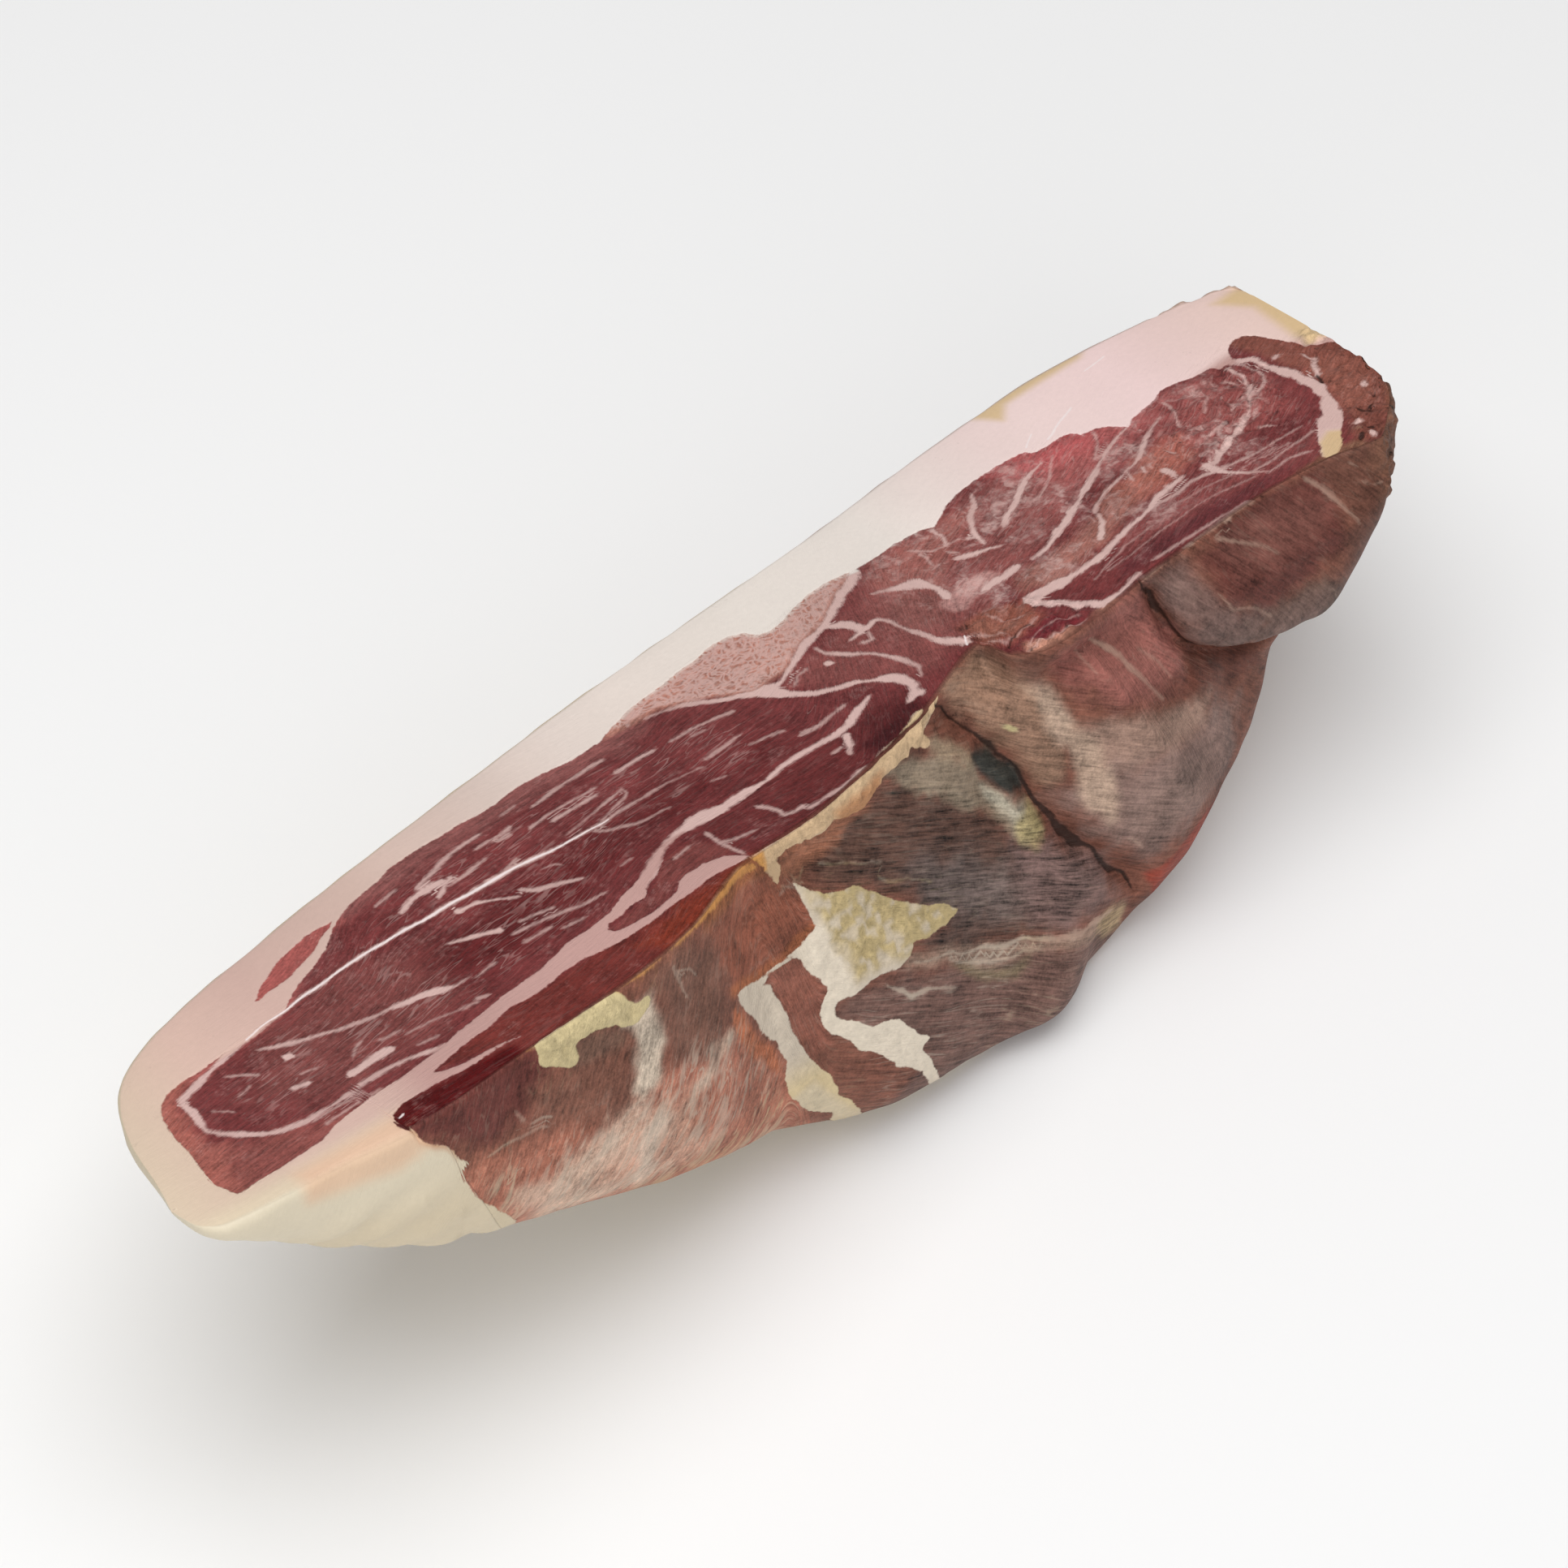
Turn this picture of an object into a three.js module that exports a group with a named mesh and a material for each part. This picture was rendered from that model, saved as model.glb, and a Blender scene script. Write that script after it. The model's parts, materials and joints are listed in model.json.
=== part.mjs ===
import * as THREE from "three";

// Half of a boneless cured pork shoulder, cut lengthwise. It lies on its rounded outer side with the cut
// face up and leaning back. All sizes are in millimetres.
// x runs along the piece from its pointed end, c runs across the cut face from the inner edge (the ridge)
// towards the back, and d runs square down from the cut face into the meat.

// Driving dimensions.
const length = 322;
const cutTilt = THREE.MathUtils.degToRad(16);
const cutHeight = 93; // height of the line c = 0 of the cut face above what the piece rests on
const floorBlend = 3; // the underside runs into its flat resting spot over this height
const edgeRound = 1.2; // rounding of the knife's edges
const boxiness = 2.6; // 2 makes a section a half ellipse, more makes it squarer
const swellBlend = 0.01; // how softly one side's swelling goes over into the other's
const seamGap = 0.3; // between the lean meat and the fat around it
const originAt = new THREE.Vector3(length / 2, 34.3, 0); // middle of the box, on the resting surface

// The outline of the cut face: c of its two long edges at distances x from the pointed end.
const backEdge = smoothCurve([
  [0, 0], [2.2, 10], [4.2, 21.5], [8.3, 33.2], [14, 41], [30, 49.5], [60, 57.5], [100, 66],
  [150, 75], [200, 82], [240, 88.8], [275, 92.5], [300, 91.5], [322, 87.5],
]);
const ridgeEdge = smoothCurve([
  [0, 0], [0.5, -4], [1.5, -8], [6, -11.5], [30, -13], [48, -14.5], [70, -12], [100, -9],
  [115, -5], [134, 3.5], [150, 5], [170, 10], [188, 15.2], [205, 17], [228, 16], [250, 18.5],
  [280, 21.5], [294, 20.6], [305, 18], [312, 23], [317.5, 29], [320.5, 36], [322, 43],
]);
// The torn notch in the ridge and the flap of cut meat beside it, as a shift of the ridge's c, which
// dies out down the inner side.
const ridgeNotch = smoothCurve([
  [184, 0], [197, 5], [203, 7.5], [206.5, 8.5], [209.5, 0.5], [216, -3], [228, -1.5], [242, 0],
]);
const notchReach = 15;
const pointedEnd = { edgeReach: 6, depthReach: 30 }; // the rounding and the depth run out over these
const rightEnd = { cornerDrop: 4, cornerReach: 7, cornerPower: 2.5, depthReach: 22, stub: 3 };

// How deep the piece hangs below its cut face, and how far its two sides swell beyond the edges.
const bodyDepth = smoothCurve([
  [0, 6], [20, 21], [50, 41.5], [75, 53.5], [100, 64], [130, 77], [160, 88.5], [190, 93], [215, 91],
  [240, 83], [262, 69], [285, 48], [300, 32], [322, 11],
]);
const innerSwell = smoothCurve([
  [0, 2], [50, 5], [100, 8], [140, 13], [165, 22], [190, 26], [215, 23], [235, 22], [262, 16],
  [285, 9], [300, 1], [322, -8],
]);
const backSwell = smoothCurve([[0, 1], [60, 4], [160, 8], [260, 6], [322, 2]]);

// The lean meat on the cut face: its upper border with the fat, and its lower one near the pointed end.
const leanStart = { x: 9.5, c: 0, backReach: 5, ridgeReach: 4, depthReach: 16 };
const leanUpper = smoothCurve([
  [9, 24], [13, 27], [22, 30.5], [36, 33], [48, 35], [62, 42], [72, 51], [90, 56.5], [115, 57.5],
  [139, 58.5], [150, 63], [170, 66.5], [180, 63], [190, 65], [222, 66.5], [243, 72], [263, 71],
  [273, 62.5], [290, 68], [308, 70.5], [315, 64], [322, 61],
]);
const leanLower = smoothCurve([[9, -6.5], [20, -5], [30, -3.5], [40, -1.5], [60, 0]]);
// Distance over the ridge and down the inner side at which the fat begins.
const fatBegins = smoothCurve([
  [41, -12], [44.5, 2.5], [47, 5], [50, 7.5], [52, 17], [55, 26], [60, 41], [64, 50], [85, 63],
  [100, 70], [130, 84], [150, 92], [190, 94], [230, 92], [250, 85], [262, 76], [275, 65], [290, 51],
  [300, 42], [310, 31], [322, 20],
]);
const fatUnderneath = smoothCurve([[0, 8], [60, 8], [150, 6], [322, 5]]); // thickness under the lean
const fatSideEdge = { thickness: 3, over: 8 }; // where it ends on the inner side
const seamTurn = { from: 41, to: 44.5 }; // between these the lean's border goes over the ridge
const leanRests = 5; // height of the lean meat's flattened underside, on the fat

// The muscles of the inner side, pressed together where the bones were taken out. A cleft is given by
// x at distances g down the inner side, and the end muscle by the g of its lower edge at places x.
const bladeCleft = {
  line: smoothCurve([[0, 190], [10, 197], [22, 204], [33, 208], [50, 216], [66, 227], [90, 240]]),
  depth: 4.5, halfWidth: 3.4, firstG: 1, lastG: 78, fadeIn: 7, fadeOut: 14,
};
const endMuscle = {
  edge: smoothCurve([
    [236, -24], [244, 0], [247, 10], [250, 18], [258, 26], [266, 31], [276, 34.5], [290, 38], [322, 42],
  ]),
  proud: 5.5, roundOver: 9, // how far it stands out, and over what width it rounds off
  cleft: 3, cleftHalfWidth: 2.8, // the cleft under its edge
  overhang: 2.2, overhangAt: 3, overhangReach: 4, // its lip, and where that is, inside the edge
  shoulder: 3.5, shoulderAt: -8, shoulderReach: 10, // the hollow below it, outside the edge
  shoulderFrom: 250, shoulderFull: 262,
  ridgeFade: 14, endFadeFrom: 294, endFadeTo: 314,
};
const swellings = [
  { x: 243, g: 38, reachX: 20, reachG: 24, height: 2.5 }, // the middle muscle
  { x: 183, g: 42, reachX: 20, reachG: 22, height: 2.5 }, // the fibrous muscle beside it
  { x: 92, g: 30, reachX: 26, reachG: 18, height: 1.5 },
  { x: 197, g: 24, reachX: 5, reachG: 9, height: -2.5 }, // the pocket along the blade cleft
  { x: 224, g: 8, reachX: 15, reachG: 4.5, height: -4.5 }, // under the flap of the cut edge
  { x: 150, g: 10, reachX: 24, reachG: 5, height: -2 }, // under the strip of fat at the ridge
  { x: 202, g: 82, reachX: 11, reachG: 15, height: 5 }, // the fibrous muscle's lower end
  { x: 224, g: 76, reachX: 10, reachG: 12, height: -3.5 },
];
const pressFolds = { middle: 32, reach: 18, height: 0.6, spacing: 12, slant: 0.5, fromG: 6, fullG: 16 };

// The relief of the inner side runs out towards the resting spot, the underside and the two ends.
const reliefFade = {
  floorFrom: 0.5, floorFull: 9, // heights above the resting surface
  shareFull: 0.5, shareTo: 0.6, // shares of the way round the section
  leftEnd: 20, rightEnd: 16, stub: 4,
};

// How finely the surfaces are divided.
const outerSteps = 200; // measuring steps along a section's outline
const tiny = 1e-4;
const counts = { leanFace: 4, leanSide: 24, seam: 8, fatFace: 2, fatSide: 15 };
const nearRidge = 1.1; // above 1, the inner side is divided more finely near the ridge

// A smooth curve through points in order, which never overshoots them (monotone cubic).
function smoothCurve(points) {
  const last = points.length - 1;
  const run = [];
  const slope = [];
  for (let i = 0; i < last; i++) {
    run.push(points[i + 1][0] - points[i][0]);
    slope.push((points[i + 1][1] - points[i][1]) / run[i]);
  }
  const tangent = [slope[0]];
  for (let i = 1; i < last; i++) {
    const before = 2 * run[i] + run[i - 1];
    const after = run[i] + 2 * run[i - 1];
    const turns = slope[i - 1] * slope[i] <= 0;
    tangent.push(turns ? 0 : (before + after) / (before / slope[i - 1] + after / slope[i]));
  }
  tangent.push(slope[last - 1]);
  return (at) => {
    const x = THREE.MathUtils.clamp(at, points[0][0], points[last][0]);
    let i = 0;
    while (i < last - 1 && x > points[i + 1][0]) i++;
    const t = (x - points[i][0]) / run[i];
    return (
      (1 + 2 * t) * (1 - t) ** 2 * points[i][1] +
      t * (1 - t) ** 2 * run[i] * tangent[i] +
      t * t * (3 - 2 * t) * points[i + 1][1] +
      t * t * (t - 1) * run[i] * tangent[i + 1]
    );
  };
}

// 0 at an end, rising like a quarter round to 1 at the reach.
function endRound(fromEnd, reach, power = 2) {
  const t = THREE.MathUtils.clamp(fromEnd / reach, 0, 1);
  return (1 - (1 - t) ** power) ** (1 / power);
}

function smoothStep(value, from, to) {
  return THREE.MathUtils.smoothstep(value, from, to);
}

function bell(distance, reach) {
  return Math.exp(-((distance / reach) ** 2));
}

// The whole section at x: its two edges, depth and swellings.
function bodySection(x) {
  const fromRight = length - x;
  const end = rightEnd;
  const sides = endRound(x, pointedEnd.depthReach) * endRound(fromRight + end.stub, end.depthReach);
  const corner = end.cornerDrop * (1 - endRound(fromRight, end.cornerReach, end.cornerPower));
  return {
    left: ridgeEdge(x),
    right: backEdge(x) - corner,
    top: edgeRound * endRound(x, pointedEnd.edgeReach),
    depth: bodyDepth(x) * sides,
    leftSwell: innerSwell(x) * sides,
    rightSwell: backSwell(x) * sides,
  };
}

// The lean meat's hidden outline at x, made larger all round by the gap for the hollow in the fat.
function leanSection(x, gap) {
  const body = bodySection(x);
  const near = gap > 0 ? [x - gap, x, x + gap] : [x];
  const faceFrom = body.left + body.top;
  const sizes = near.map((at) => {
    const start = leanStart;
    const upper = start.c + (leanUpper(at) - start.c) * endRound(at - start.x, start.backReach);
    const begins = seamStart(at, faceFrom);
    const inset = fatSideEdge.thickness * smoothStep(begins, 0, fatSideEdge.over);
    const side = faceFrom - Math.min(begins, 0) + inset;
    const depth = (bodySection(at).depth - fatUnderneath(at)) * endRound(at - start.x, start.depthReach);
    return { upper, side, depth };
  });
  const there = x + gap > leanStart.x;
  const depth = there ? Math.max(...sizes.map((s) => s.depth)) + gap : 0;
  const share = depth / body.depth;
  return {
    left: Math.min(...sizes.map((s) => s.side)) - (there ? gap : 0),
    right: Math.max(...sizes.map((s) => s.upper)) + (there ? gap : 0),
    top: 0,
    depth,
    leftSwell: depth > 0 ? body.leftSwell * share : 0,
    rightSwell: depth > 0 ? body.rightSwell * share : 0,
  };
}

// A point (c, d) of a section's curve under the cut face, share 0 at its left end and 1 at its right:
// a squared-off half ellipse, pushed out sideways by the swellings.
function archPoint(section, share) {
  const angle = Math.PI * share;
  const across = Math.cos(angle);
  const down = Math.sin(angle);
  const middle = (section.left + section.right) / 2;
  const half = (section.right - section.left) / 2;
  const power = 2 / boxiness;
  const lean = across * (across ** 2 + swellBlend) ** -0.25;
  const swell = -lean * down ** 2 * (across > 0 ? section.leftSwell : section.rightSwell);
  return [
    middle - half * Math.sign(across) * Math.abs(across) ** power + swell,
    section.top + section.depth * Math.abs(down) ** power,
  ];
}

// The same curve measured along its length: at(g) gives the point g millimetres from its left end, and
// nearest(point) how far along the place nearest to a point is.
function measuredArch(section) {
  const points = [];
  const lengths = [0];
  for (let i = 0; i <= outerSteps; i++) {
    points.push(archPoint(section, i / outerSteps));
    if (i > 0) {
      const [a, b] = [points[i - 1], points[i]];
      lengths.push(lengths[i - 1] + Math.hypot(b[0] - a[0], b[1] - a[1]));
    }
  }
  const total = lengths[outerSteps];
  const at = (g) => {
    if (total < tiny) return points[0];
    const want = THREE.MathUtils.clamp(g, 0, total);
    let i = 0;
    while (i < outerSteps - 1 && lengths[i + 1] < want) i++;
    const t = (want - lengths[i]) / (lengths[i + 1] - lengths[i]);
    return [0, 1].map((k) => points[i][k] + t * (points[i + 1][k] - points[i][k]));
  };
  const nearest = ([c, d]) => {
    const away = points.map((p) => Math.hypot(p[0] - c, p[1] - d));
    return lengths[away.indexOf(Math.min(...away))];
  };
  return { total, at, nearest };
}

// How far the surface of the inner side stands out at (x, g), and how far its edge hangs over.
function relief(x, g) {
  const blade = bladeCleft;
  const bladeSlope = (blade.line(g + 1) - blade.line(g - 1)) / 2;
  const toBlade = (x - blade.line(g)) / Math.hypot(1, bladeSlope);
  const bladeFade =
    smoothStep(g, blade.firstG, blade.firstG + blade.fadeIn) *
    (1 - smoothStep(g, blade.lastG - blade.fadeOut, blade.lastG));
  let out = -blade.depth * bell(toBlade, blade.halfWidth) * bladeFade;

  const muscle = endMuscle;
  const edgeSlope = (muscle.edge(x + 1) - muscle.edge(x - 1)) / 2;
  const inside = (muscle.edge(x) - g) / Math.hypot(1, edgeSlope);
  const toEnd = 1 - smoothStep(x, muscle.endFadeFrom, muscle.endFadeTo);
  const endFade = toEnd * smoothStep(g, 0, muscle.ridgeFade);
  const hollow = bell(inside - muscle.shoulderAt, muscle.shoulderReach);
  const under = toEnd * smoothStep(g, 0, muscle.ridgeFade / 2);
  out += muscle.proud * endRound(inside, muscle.roundOver) * endFade;
  out -= muscle.cleft * bell(inside, muscle.cleftHalfWidth) * under;
  out -= muscle.shoulder * hollow * endFade * smoothStep(x, muscle.shoulderFrom, muscle.shoulderFull);
  const overhang = -muscle.overhang * bell(inside - muscle.overhangAt, muscle.overhangReach) * endFade;

  for (const s of swellings) {
    out += s.height * bell(x - s.x, s.reachX) * bell(g - s.g, s.reachG);
  }
  const folds = pressFolds;
  const foldFade = bell(x - folds.middle, folds.reach) * smoothStep(g, folds.fromG, folds.fullG);
  out += folds.height * Math.sin(((g + x * folds.slant) * 2 * Math.PI) / folds.spacing) * foldFade;
  return { out, overhang };
}

// From (x, c, d) to the part's own frame. What would hang below the height of rest is pressed flat.
function toFrame(x, c, d, rest = 0) {
  const y = c * Math.cos(cutTilt) - d * Math.sin(cutTilt);
  const height = cutHeight - rest - c * Math.sin(cutTilt) - d * Math.cos(cutTilt);
  let z = height;
  if (height < floorBlend) z = (height + floorBlend) ** 2 / (4 * floorBlend);
  if (height < -floorBlend) z = 0;
  return new THREE.Vector3(x, y, rest + z).sub(originAt);
}

// Everything needed at one station x: the outer surface by the distance q from the ridge, which is
// negative on the cut face, counts the rounded edge, and goes on down the inner side and round the back.
function station(x) {
  const body = bodySection(x);
  const arch = measuredArch(body);
  const bend = (body.top * Math.PI) / 2;
  const notch = ridgeNotch(x);
  const faceFrom = body.left + body.top + notch;
  const faceTo = body.right - body.top;
  const fromRight = length - x + reliefFade.stub;
  const outer = (q) => {
    if (q <= 0) return toFrame(x, faceFrom - q, 0);
    if (q < bend) {
      const turn = q / body.top;
      const inward = body.top * (1 - Math.sin(turn));
      return toFrame(x, body.left + notch + inward, body.top * (1 - Math.cos(turn)));
    }
    const g = q - bend;
    if (g > arch.total) {
      const turn = Math.min((g - arch.total) / body.top, Math.PI / 2);
      const inward = body.top * (1 - Math.cos(turn));
      return toFrame(x, body.right - inward, body.top * (1 - Math.sin(turn)));
    }
    const [c, d] = arch.at(g);
    const step = Math.max(arch.total / (2 * outerSteps), tiny);
    const [before, after] = [arch.at(g - step), arch.at(g + step)];
    const along = new THREE.Vector2(after[0] - before[0], after[1] - before[1]).normalize();
    const { out, overhang } = relief(x, g);
    const aboveFloor = cutHeight - c * Math.sin(cutTilt) - d * Math.cos(cutTilt);
    const fade =
      smoothStep(aboveFloor, reliefFade.floorFrom, reliefFade.floorFull) *
      (1 - smoothStep(g / arch.total, reliefFade.shareFull, reliefFade.shareTo));
    const push = out * fade * endRound(x, reliefFade.leftEnd) * endRound(fromRight, reliefFade.rightEnd);
    const shift = notch * (1 - smoothStep(g, 0, notchReach));
    return toFrame(x + overhang * fade, c + shift - along.y * push, d + along.x * push);
  };
  return { x, body, arch, bend, faceFrom, faceTo, outer, total: arch.total + 2 * bend };
}

// Where the lean meat's lower border with the fat lies at x, as a distance q from the ridge: on the cut
// face near the pointed end, then over the ridge and down the inner side.
function seamStart(x, faceFrom) {
  const start = leanStart;
  const lower = start.c + (leanLower(x) - start.c) * endRound(x - start.x, start.ridgeReach);
  return THREE.MathUtils.lerp(faceFrom - lower, fatBegins(x), smoothStep(x, seamTurn.from, seamTurn.to));
}

// Where along the seam the lean's border comes in from the outer surface, by the shortest way, as a
// share of the seam's length.
function wallShare(at) {
  const begins = seamStart(at.x, at.faceFrom);
  if (begins <= at.bend) return 0;
  const seam = measuredArch(leanSection(at.x, 0));
  return seam.nearest(at.arch.at(begins - at.bend)) / seam.total;
}

function spread(from, to, count) {
  return Array.from({ length: count + 1 }, (_, i) => from + ((to - from) * i) / count);
}

// A section of the lean meat: across the cut face, over the ridge, down the inner side, and back inside.
function leanRing(x) {
  const at = station(x);
  const inner = leanSection(x, 0);
  const seam = measuredArch(inner);
  const begins = seamStart(x, at.faceFrom);
  const upper = at.faceFrom - inner.right;
  const overRidge = Math.min(begins, 0);
  const ring = spread(upper, overRidge, counts.leanFace).map(at.outer);
  spread(0, 1, counts.leanSide).slice(1).forEach((t) => {
    ring.push(at.outer(THREE.MathUtils.lerp(overRidge, begins, t ** nearRidge)));
  });
  spread(wallShare(at) * seam.total, seam.total, counts.seam).slice(0, -1).forEach((g) => {
    const [c, d] = seam.at(g);
    ring.push(toFrame(x, c, d, leanRests));
  });
  return ring;
}

// A section of the fat: from the lean's border round the back to the cut face, and back along the seam.
function fatRing(x) {
  const at = station(x);
  const hollow = leanSection(x, seamGap);
  const seam = measuredArch(hollow);
  const near = [x - seamGap, x, x + seamGap].map((place) => seamStart(place, at.faceFrom));
  const begins = Math.max(...near) + (hollow.depth > 0 ? seamGap : 0);
  const ring = [at.outer(begins), at.outer(Math.max(begins, 0))];
  const from = Math.max(begins, 0);
  spread(0, 1, counts.fatSide).slice(1).forEach((t) => {
    ring.push(at.outer(THREE.MathUtils.lerp(from, at.total, t)));
  });
  spread(at.faceTo, hollow.right, counts.fatFace).slice(1).forEach((c) => {
    ring.push(toFrame(x, c, 0));
  });
  const wall = wallShare(at) * seam.total + (begins > at.bend ? seamGap : 0);
  spread(seam.total, Math.min(wall, seam.total), counts.seam).slice(1).forEach((g) => {
    const [c, d] = seam.at(g);
    ring.push(toFrame(x, c, d, leanRests - seamGap));
  });
  return ring;
}

// A closed surface through rings of equal count, with flat caps. Points that coincide become one. The
// seam is the same net on both sides of it only if one of them has its quads split the other way.
function loft(rings, otherDiagonal = false) {
  const position = [];
  const known = new Map();
  const indexOf = (point) => {
    const key = point.toArray().map((v) => Math.round(v * 1000)).join();
    if (!known.has(key)) {
      known.set(key, position.length / 3);
      position.push(...point.toArray());
    }
    return known.get(key);
  };
  const net = rings.map((ring) => ring.map(indexOf));
  const faces = [];
  const addFace = (a, b, c) => {
    if (a !== b && b !== c && c !== a) faces.push(a, b, c);
  };
  for (let i = 0; i + 1 < net.length; i++) {
    const [here, next] = [net[i], net[i + 1]];
    here.forEach((_, j) => {
      const k = (j + 1) % here.length;
      const far = otherDiagonal ? next[j] : next[k];
      const near = otherDiagonal ? here[k] : here[j];
      addFace(here[j], here[k], far);
      addFace(near, next[k], next[j]);
    });
  }
  const capAt = (ring, indices, facing) => {
    const kept = [];
    indices.forEach((index, j) => {
      if (index !== indices[(j + 1) % indices.length]) kept.push(j);
    });
    if (kept.length < 3) return;
    const flat = kept.map((j) => new THREE.Vector2(ring[j].y, ring[j].z));
    THREE.ShapeUtils.triangulateShape(flat, []).forEach(([a, b, c]) => {
      const order = facing > 0 ? [a, b, c] : [a, c, b];
      addFace(...order.map((n) => indices[kept[n]]));
    });
  };
  capAt(rings[0], net[0], -1);
  capAt(rings.at(-1), net.at(-1), 1);
  const geometry = new THREE.BufferGeometry();
  geometry.setAttribute("position", new THREE.Float32BufferAttribute(position, 3));
  geometry.setIndex(faces);
  geometry.computeVertexNormals();
  return geometry;
}

const leanStations = [
  ...spread(10, 39, 8),
  ...spread(40.5, 45, 4),
  ...spread(46, 66, 14),
  ...spread(71, 183, 20),
  ...spread(187, 231, 18),
  ...spread(233.5, 262, 13),
  ...spread(266, 314, 11),
  ...spread(316, length, 4),
];
const fatStations = [0, 0.7, 1.8, 3, 4.5, 6.5, leanStart.x - seamGap, leanStart.x, ...leanStations];

function namedMesh(name, geometry, color, roughness) {
  const mesh = new THREE.Mesh(geometry, new THREE.MeshStandardMaterial({ color, roughness }));
  mesh.name = name;
  return mesh;
}

const shoulder = new THREE.Group();
shoulder.add(namedMesh("lean_meat", loft([leanStart.x, ...leanStations].map(leanRing)), "#7d3b3f", 0.45));
shoulder.add(namedMesh("fat_cap", loft(fatStations.map(fatRing), true), "#dcc6b4", 0.5));

export default shoulder;
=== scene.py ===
# Half of a boneless cured pork shoulder, cut lengthwise, lying on its rounded outer side with the cut
# face up. All of its outside is one skin, a function of x along the piece and q round it, and the lean
# meat and the fat are two closed pieces that share that skin along their borders. Sizes in millimetres.
import json
import math

import bmesh
import bpy
import numpy as np
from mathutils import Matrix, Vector

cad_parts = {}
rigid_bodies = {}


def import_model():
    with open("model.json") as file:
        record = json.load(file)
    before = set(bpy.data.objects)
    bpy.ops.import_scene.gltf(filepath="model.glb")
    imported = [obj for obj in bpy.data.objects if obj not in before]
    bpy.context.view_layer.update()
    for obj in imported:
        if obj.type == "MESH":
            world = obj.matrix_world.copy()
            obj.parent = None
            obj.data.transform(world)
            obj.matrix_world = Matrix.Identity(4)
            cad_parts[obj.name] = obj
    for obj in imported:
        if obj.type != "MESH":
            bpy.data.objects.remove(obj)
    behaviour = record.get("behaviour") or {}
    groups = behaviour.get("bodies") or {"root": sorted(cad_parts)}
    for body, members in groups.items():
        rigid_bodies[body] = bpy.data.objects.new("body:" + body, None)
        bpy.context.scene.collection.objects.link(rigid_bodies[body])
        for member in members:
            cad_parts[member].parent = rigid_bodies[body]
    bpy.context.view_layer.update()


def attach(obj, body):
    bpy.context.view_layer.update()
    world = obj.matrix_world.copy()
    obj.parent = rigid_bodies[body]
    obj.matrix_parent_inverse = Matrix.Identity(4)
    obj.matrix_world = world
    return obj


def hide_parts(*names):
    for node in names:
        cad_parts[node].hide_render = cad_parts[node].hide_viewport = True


for leftover in list(bpy.data.objects):
    bpy.data.objects.remove(leftover)
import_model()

# The body of the piece, as the frame has it.
body = {
    "length": 322.0,
    "tilt": math.radians(16),  # the cut face leans back
    "cutHeight": 93.0,  # height of the line c = 0 of the cut face
    "floorBlend": 3.0,  # the underside runs into its flat spot over this height
    "edgeRound": 1.2,  # rounding of the knife's edges
    "boxiness": 2.6,  # 2 is a half ellipse
    "swellBlend": 0.01,
    "origin": (161.0, 34.3, 0.0),
    "backEdge": [
        (0, 0), (2.2, 10), (4.2, 21.5), (8.3, 33.2), (14, 41), (30, 49.5), (60, 57.5), (100, 66),
        (150, 75), (200, 82), (240, 88.8), (275, 92.5), (300, 91.5), (322, 87.5),
    ],
    "ridgeEdge": [
        (0, 0), (0.5, -4), (1.5, -8), (6, -11.5), (30, -13), (48, -14.5), (70, -12), (100, -9),
        (115, -5), (134, 3.5), (150, 5), (170, 10), (188, 15.2), (205, 17), (228, 16), (250, 18.5),
        (280, 21.5), (294, 20.6), (305, 18), (312, 23), (317.5, 29), (320.5, 36), (322, 43),
    ],
    "ridgeNotch": [
        (184, 0), (197, 5), (203, 7.5), (206.5, 8.5), (209.5, 0.5), (216, -3), (228, -1.5), (242, 0),
    ],
    "notchReach": 15.0,
    "depth": [
        (0, 6), (20, 21), (50, 41.5), (75, 53.5), (100, 64), (130, 77), (160, 88.5), (190, 93),
        (215, 91), (240, 83), (262, 69), (285, 48), (300, 32), (322, 11),
    ],
    "innerSwell": [
        (0, 2), (50, 5), (100, 8), (140, 13), (165, 22), (190, 26), (215, 23), (235, 22), (262, 16),
        (285, 9), (300, 1), (322, -8),
    ],
    "backSwell": [(0, 1), (60, 4), (160, 8), (260, 6), (322, 2)],
    "leftDepthReach": 30.0, "rightDepthReach": 22.0, "rightStub": 3.0,
    "cornerDrop": 4.0, "cornerReach": 7.0, "cornerPower": 2.5, "leftEdgeReach": 6.0,
}

# Where the lean meat meets the fat: on the cut face above and below, and down the inner side.
border = {
    "leanFrom": 9.5,
    "upper": [
        (9, 24), (13, 27), (22, 30.5), (36, 33), (48, 35), (62, 42), (72, 51), (90, 56.5), (115, 57.5),
        (139, 58.5), (150, 63), (170, 66.5), (180, 63), (190, 65), (222, 66.5), (243, 72), (263, 71),
        (273, 62.5), (290, 68), (308, 70.5), (315, 64), (322, 61),
    ],
    "upperReach": 5.0,
    "lower": [(9, -6.5), (20, -5), (30, -3.5), (40, -1.5), (60, 0)],
    "lowerReach": 4.0,
    "fatBegins": [
        (41, -12), (44.5, 2.5), (47, 5), (50, 7.5), (52, 17), (55, 26), (60, 41), (64, 50), (85, 63),
        (100, 70), (130, 84), (150, 92), (190, 94), (230, 92), (250, 85), (262, 76), (275, 65),
        (290, 51), (300, 42), (310, 31), (322, 20),
    ],
    "turn": (41.0, 44.5),
    "underneath": [(0, 8), (60, 8), (150, 6), (322, 5)],
    "depthReach": 16.0,
    "sideThickness": 3.0, "sideOver": 8.0,
    "gap": 0.3,  # between the two pieces, inside
    "rest": 5.0,  # the lean meat's flattened underside lies this high, on the fat
}

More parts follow.
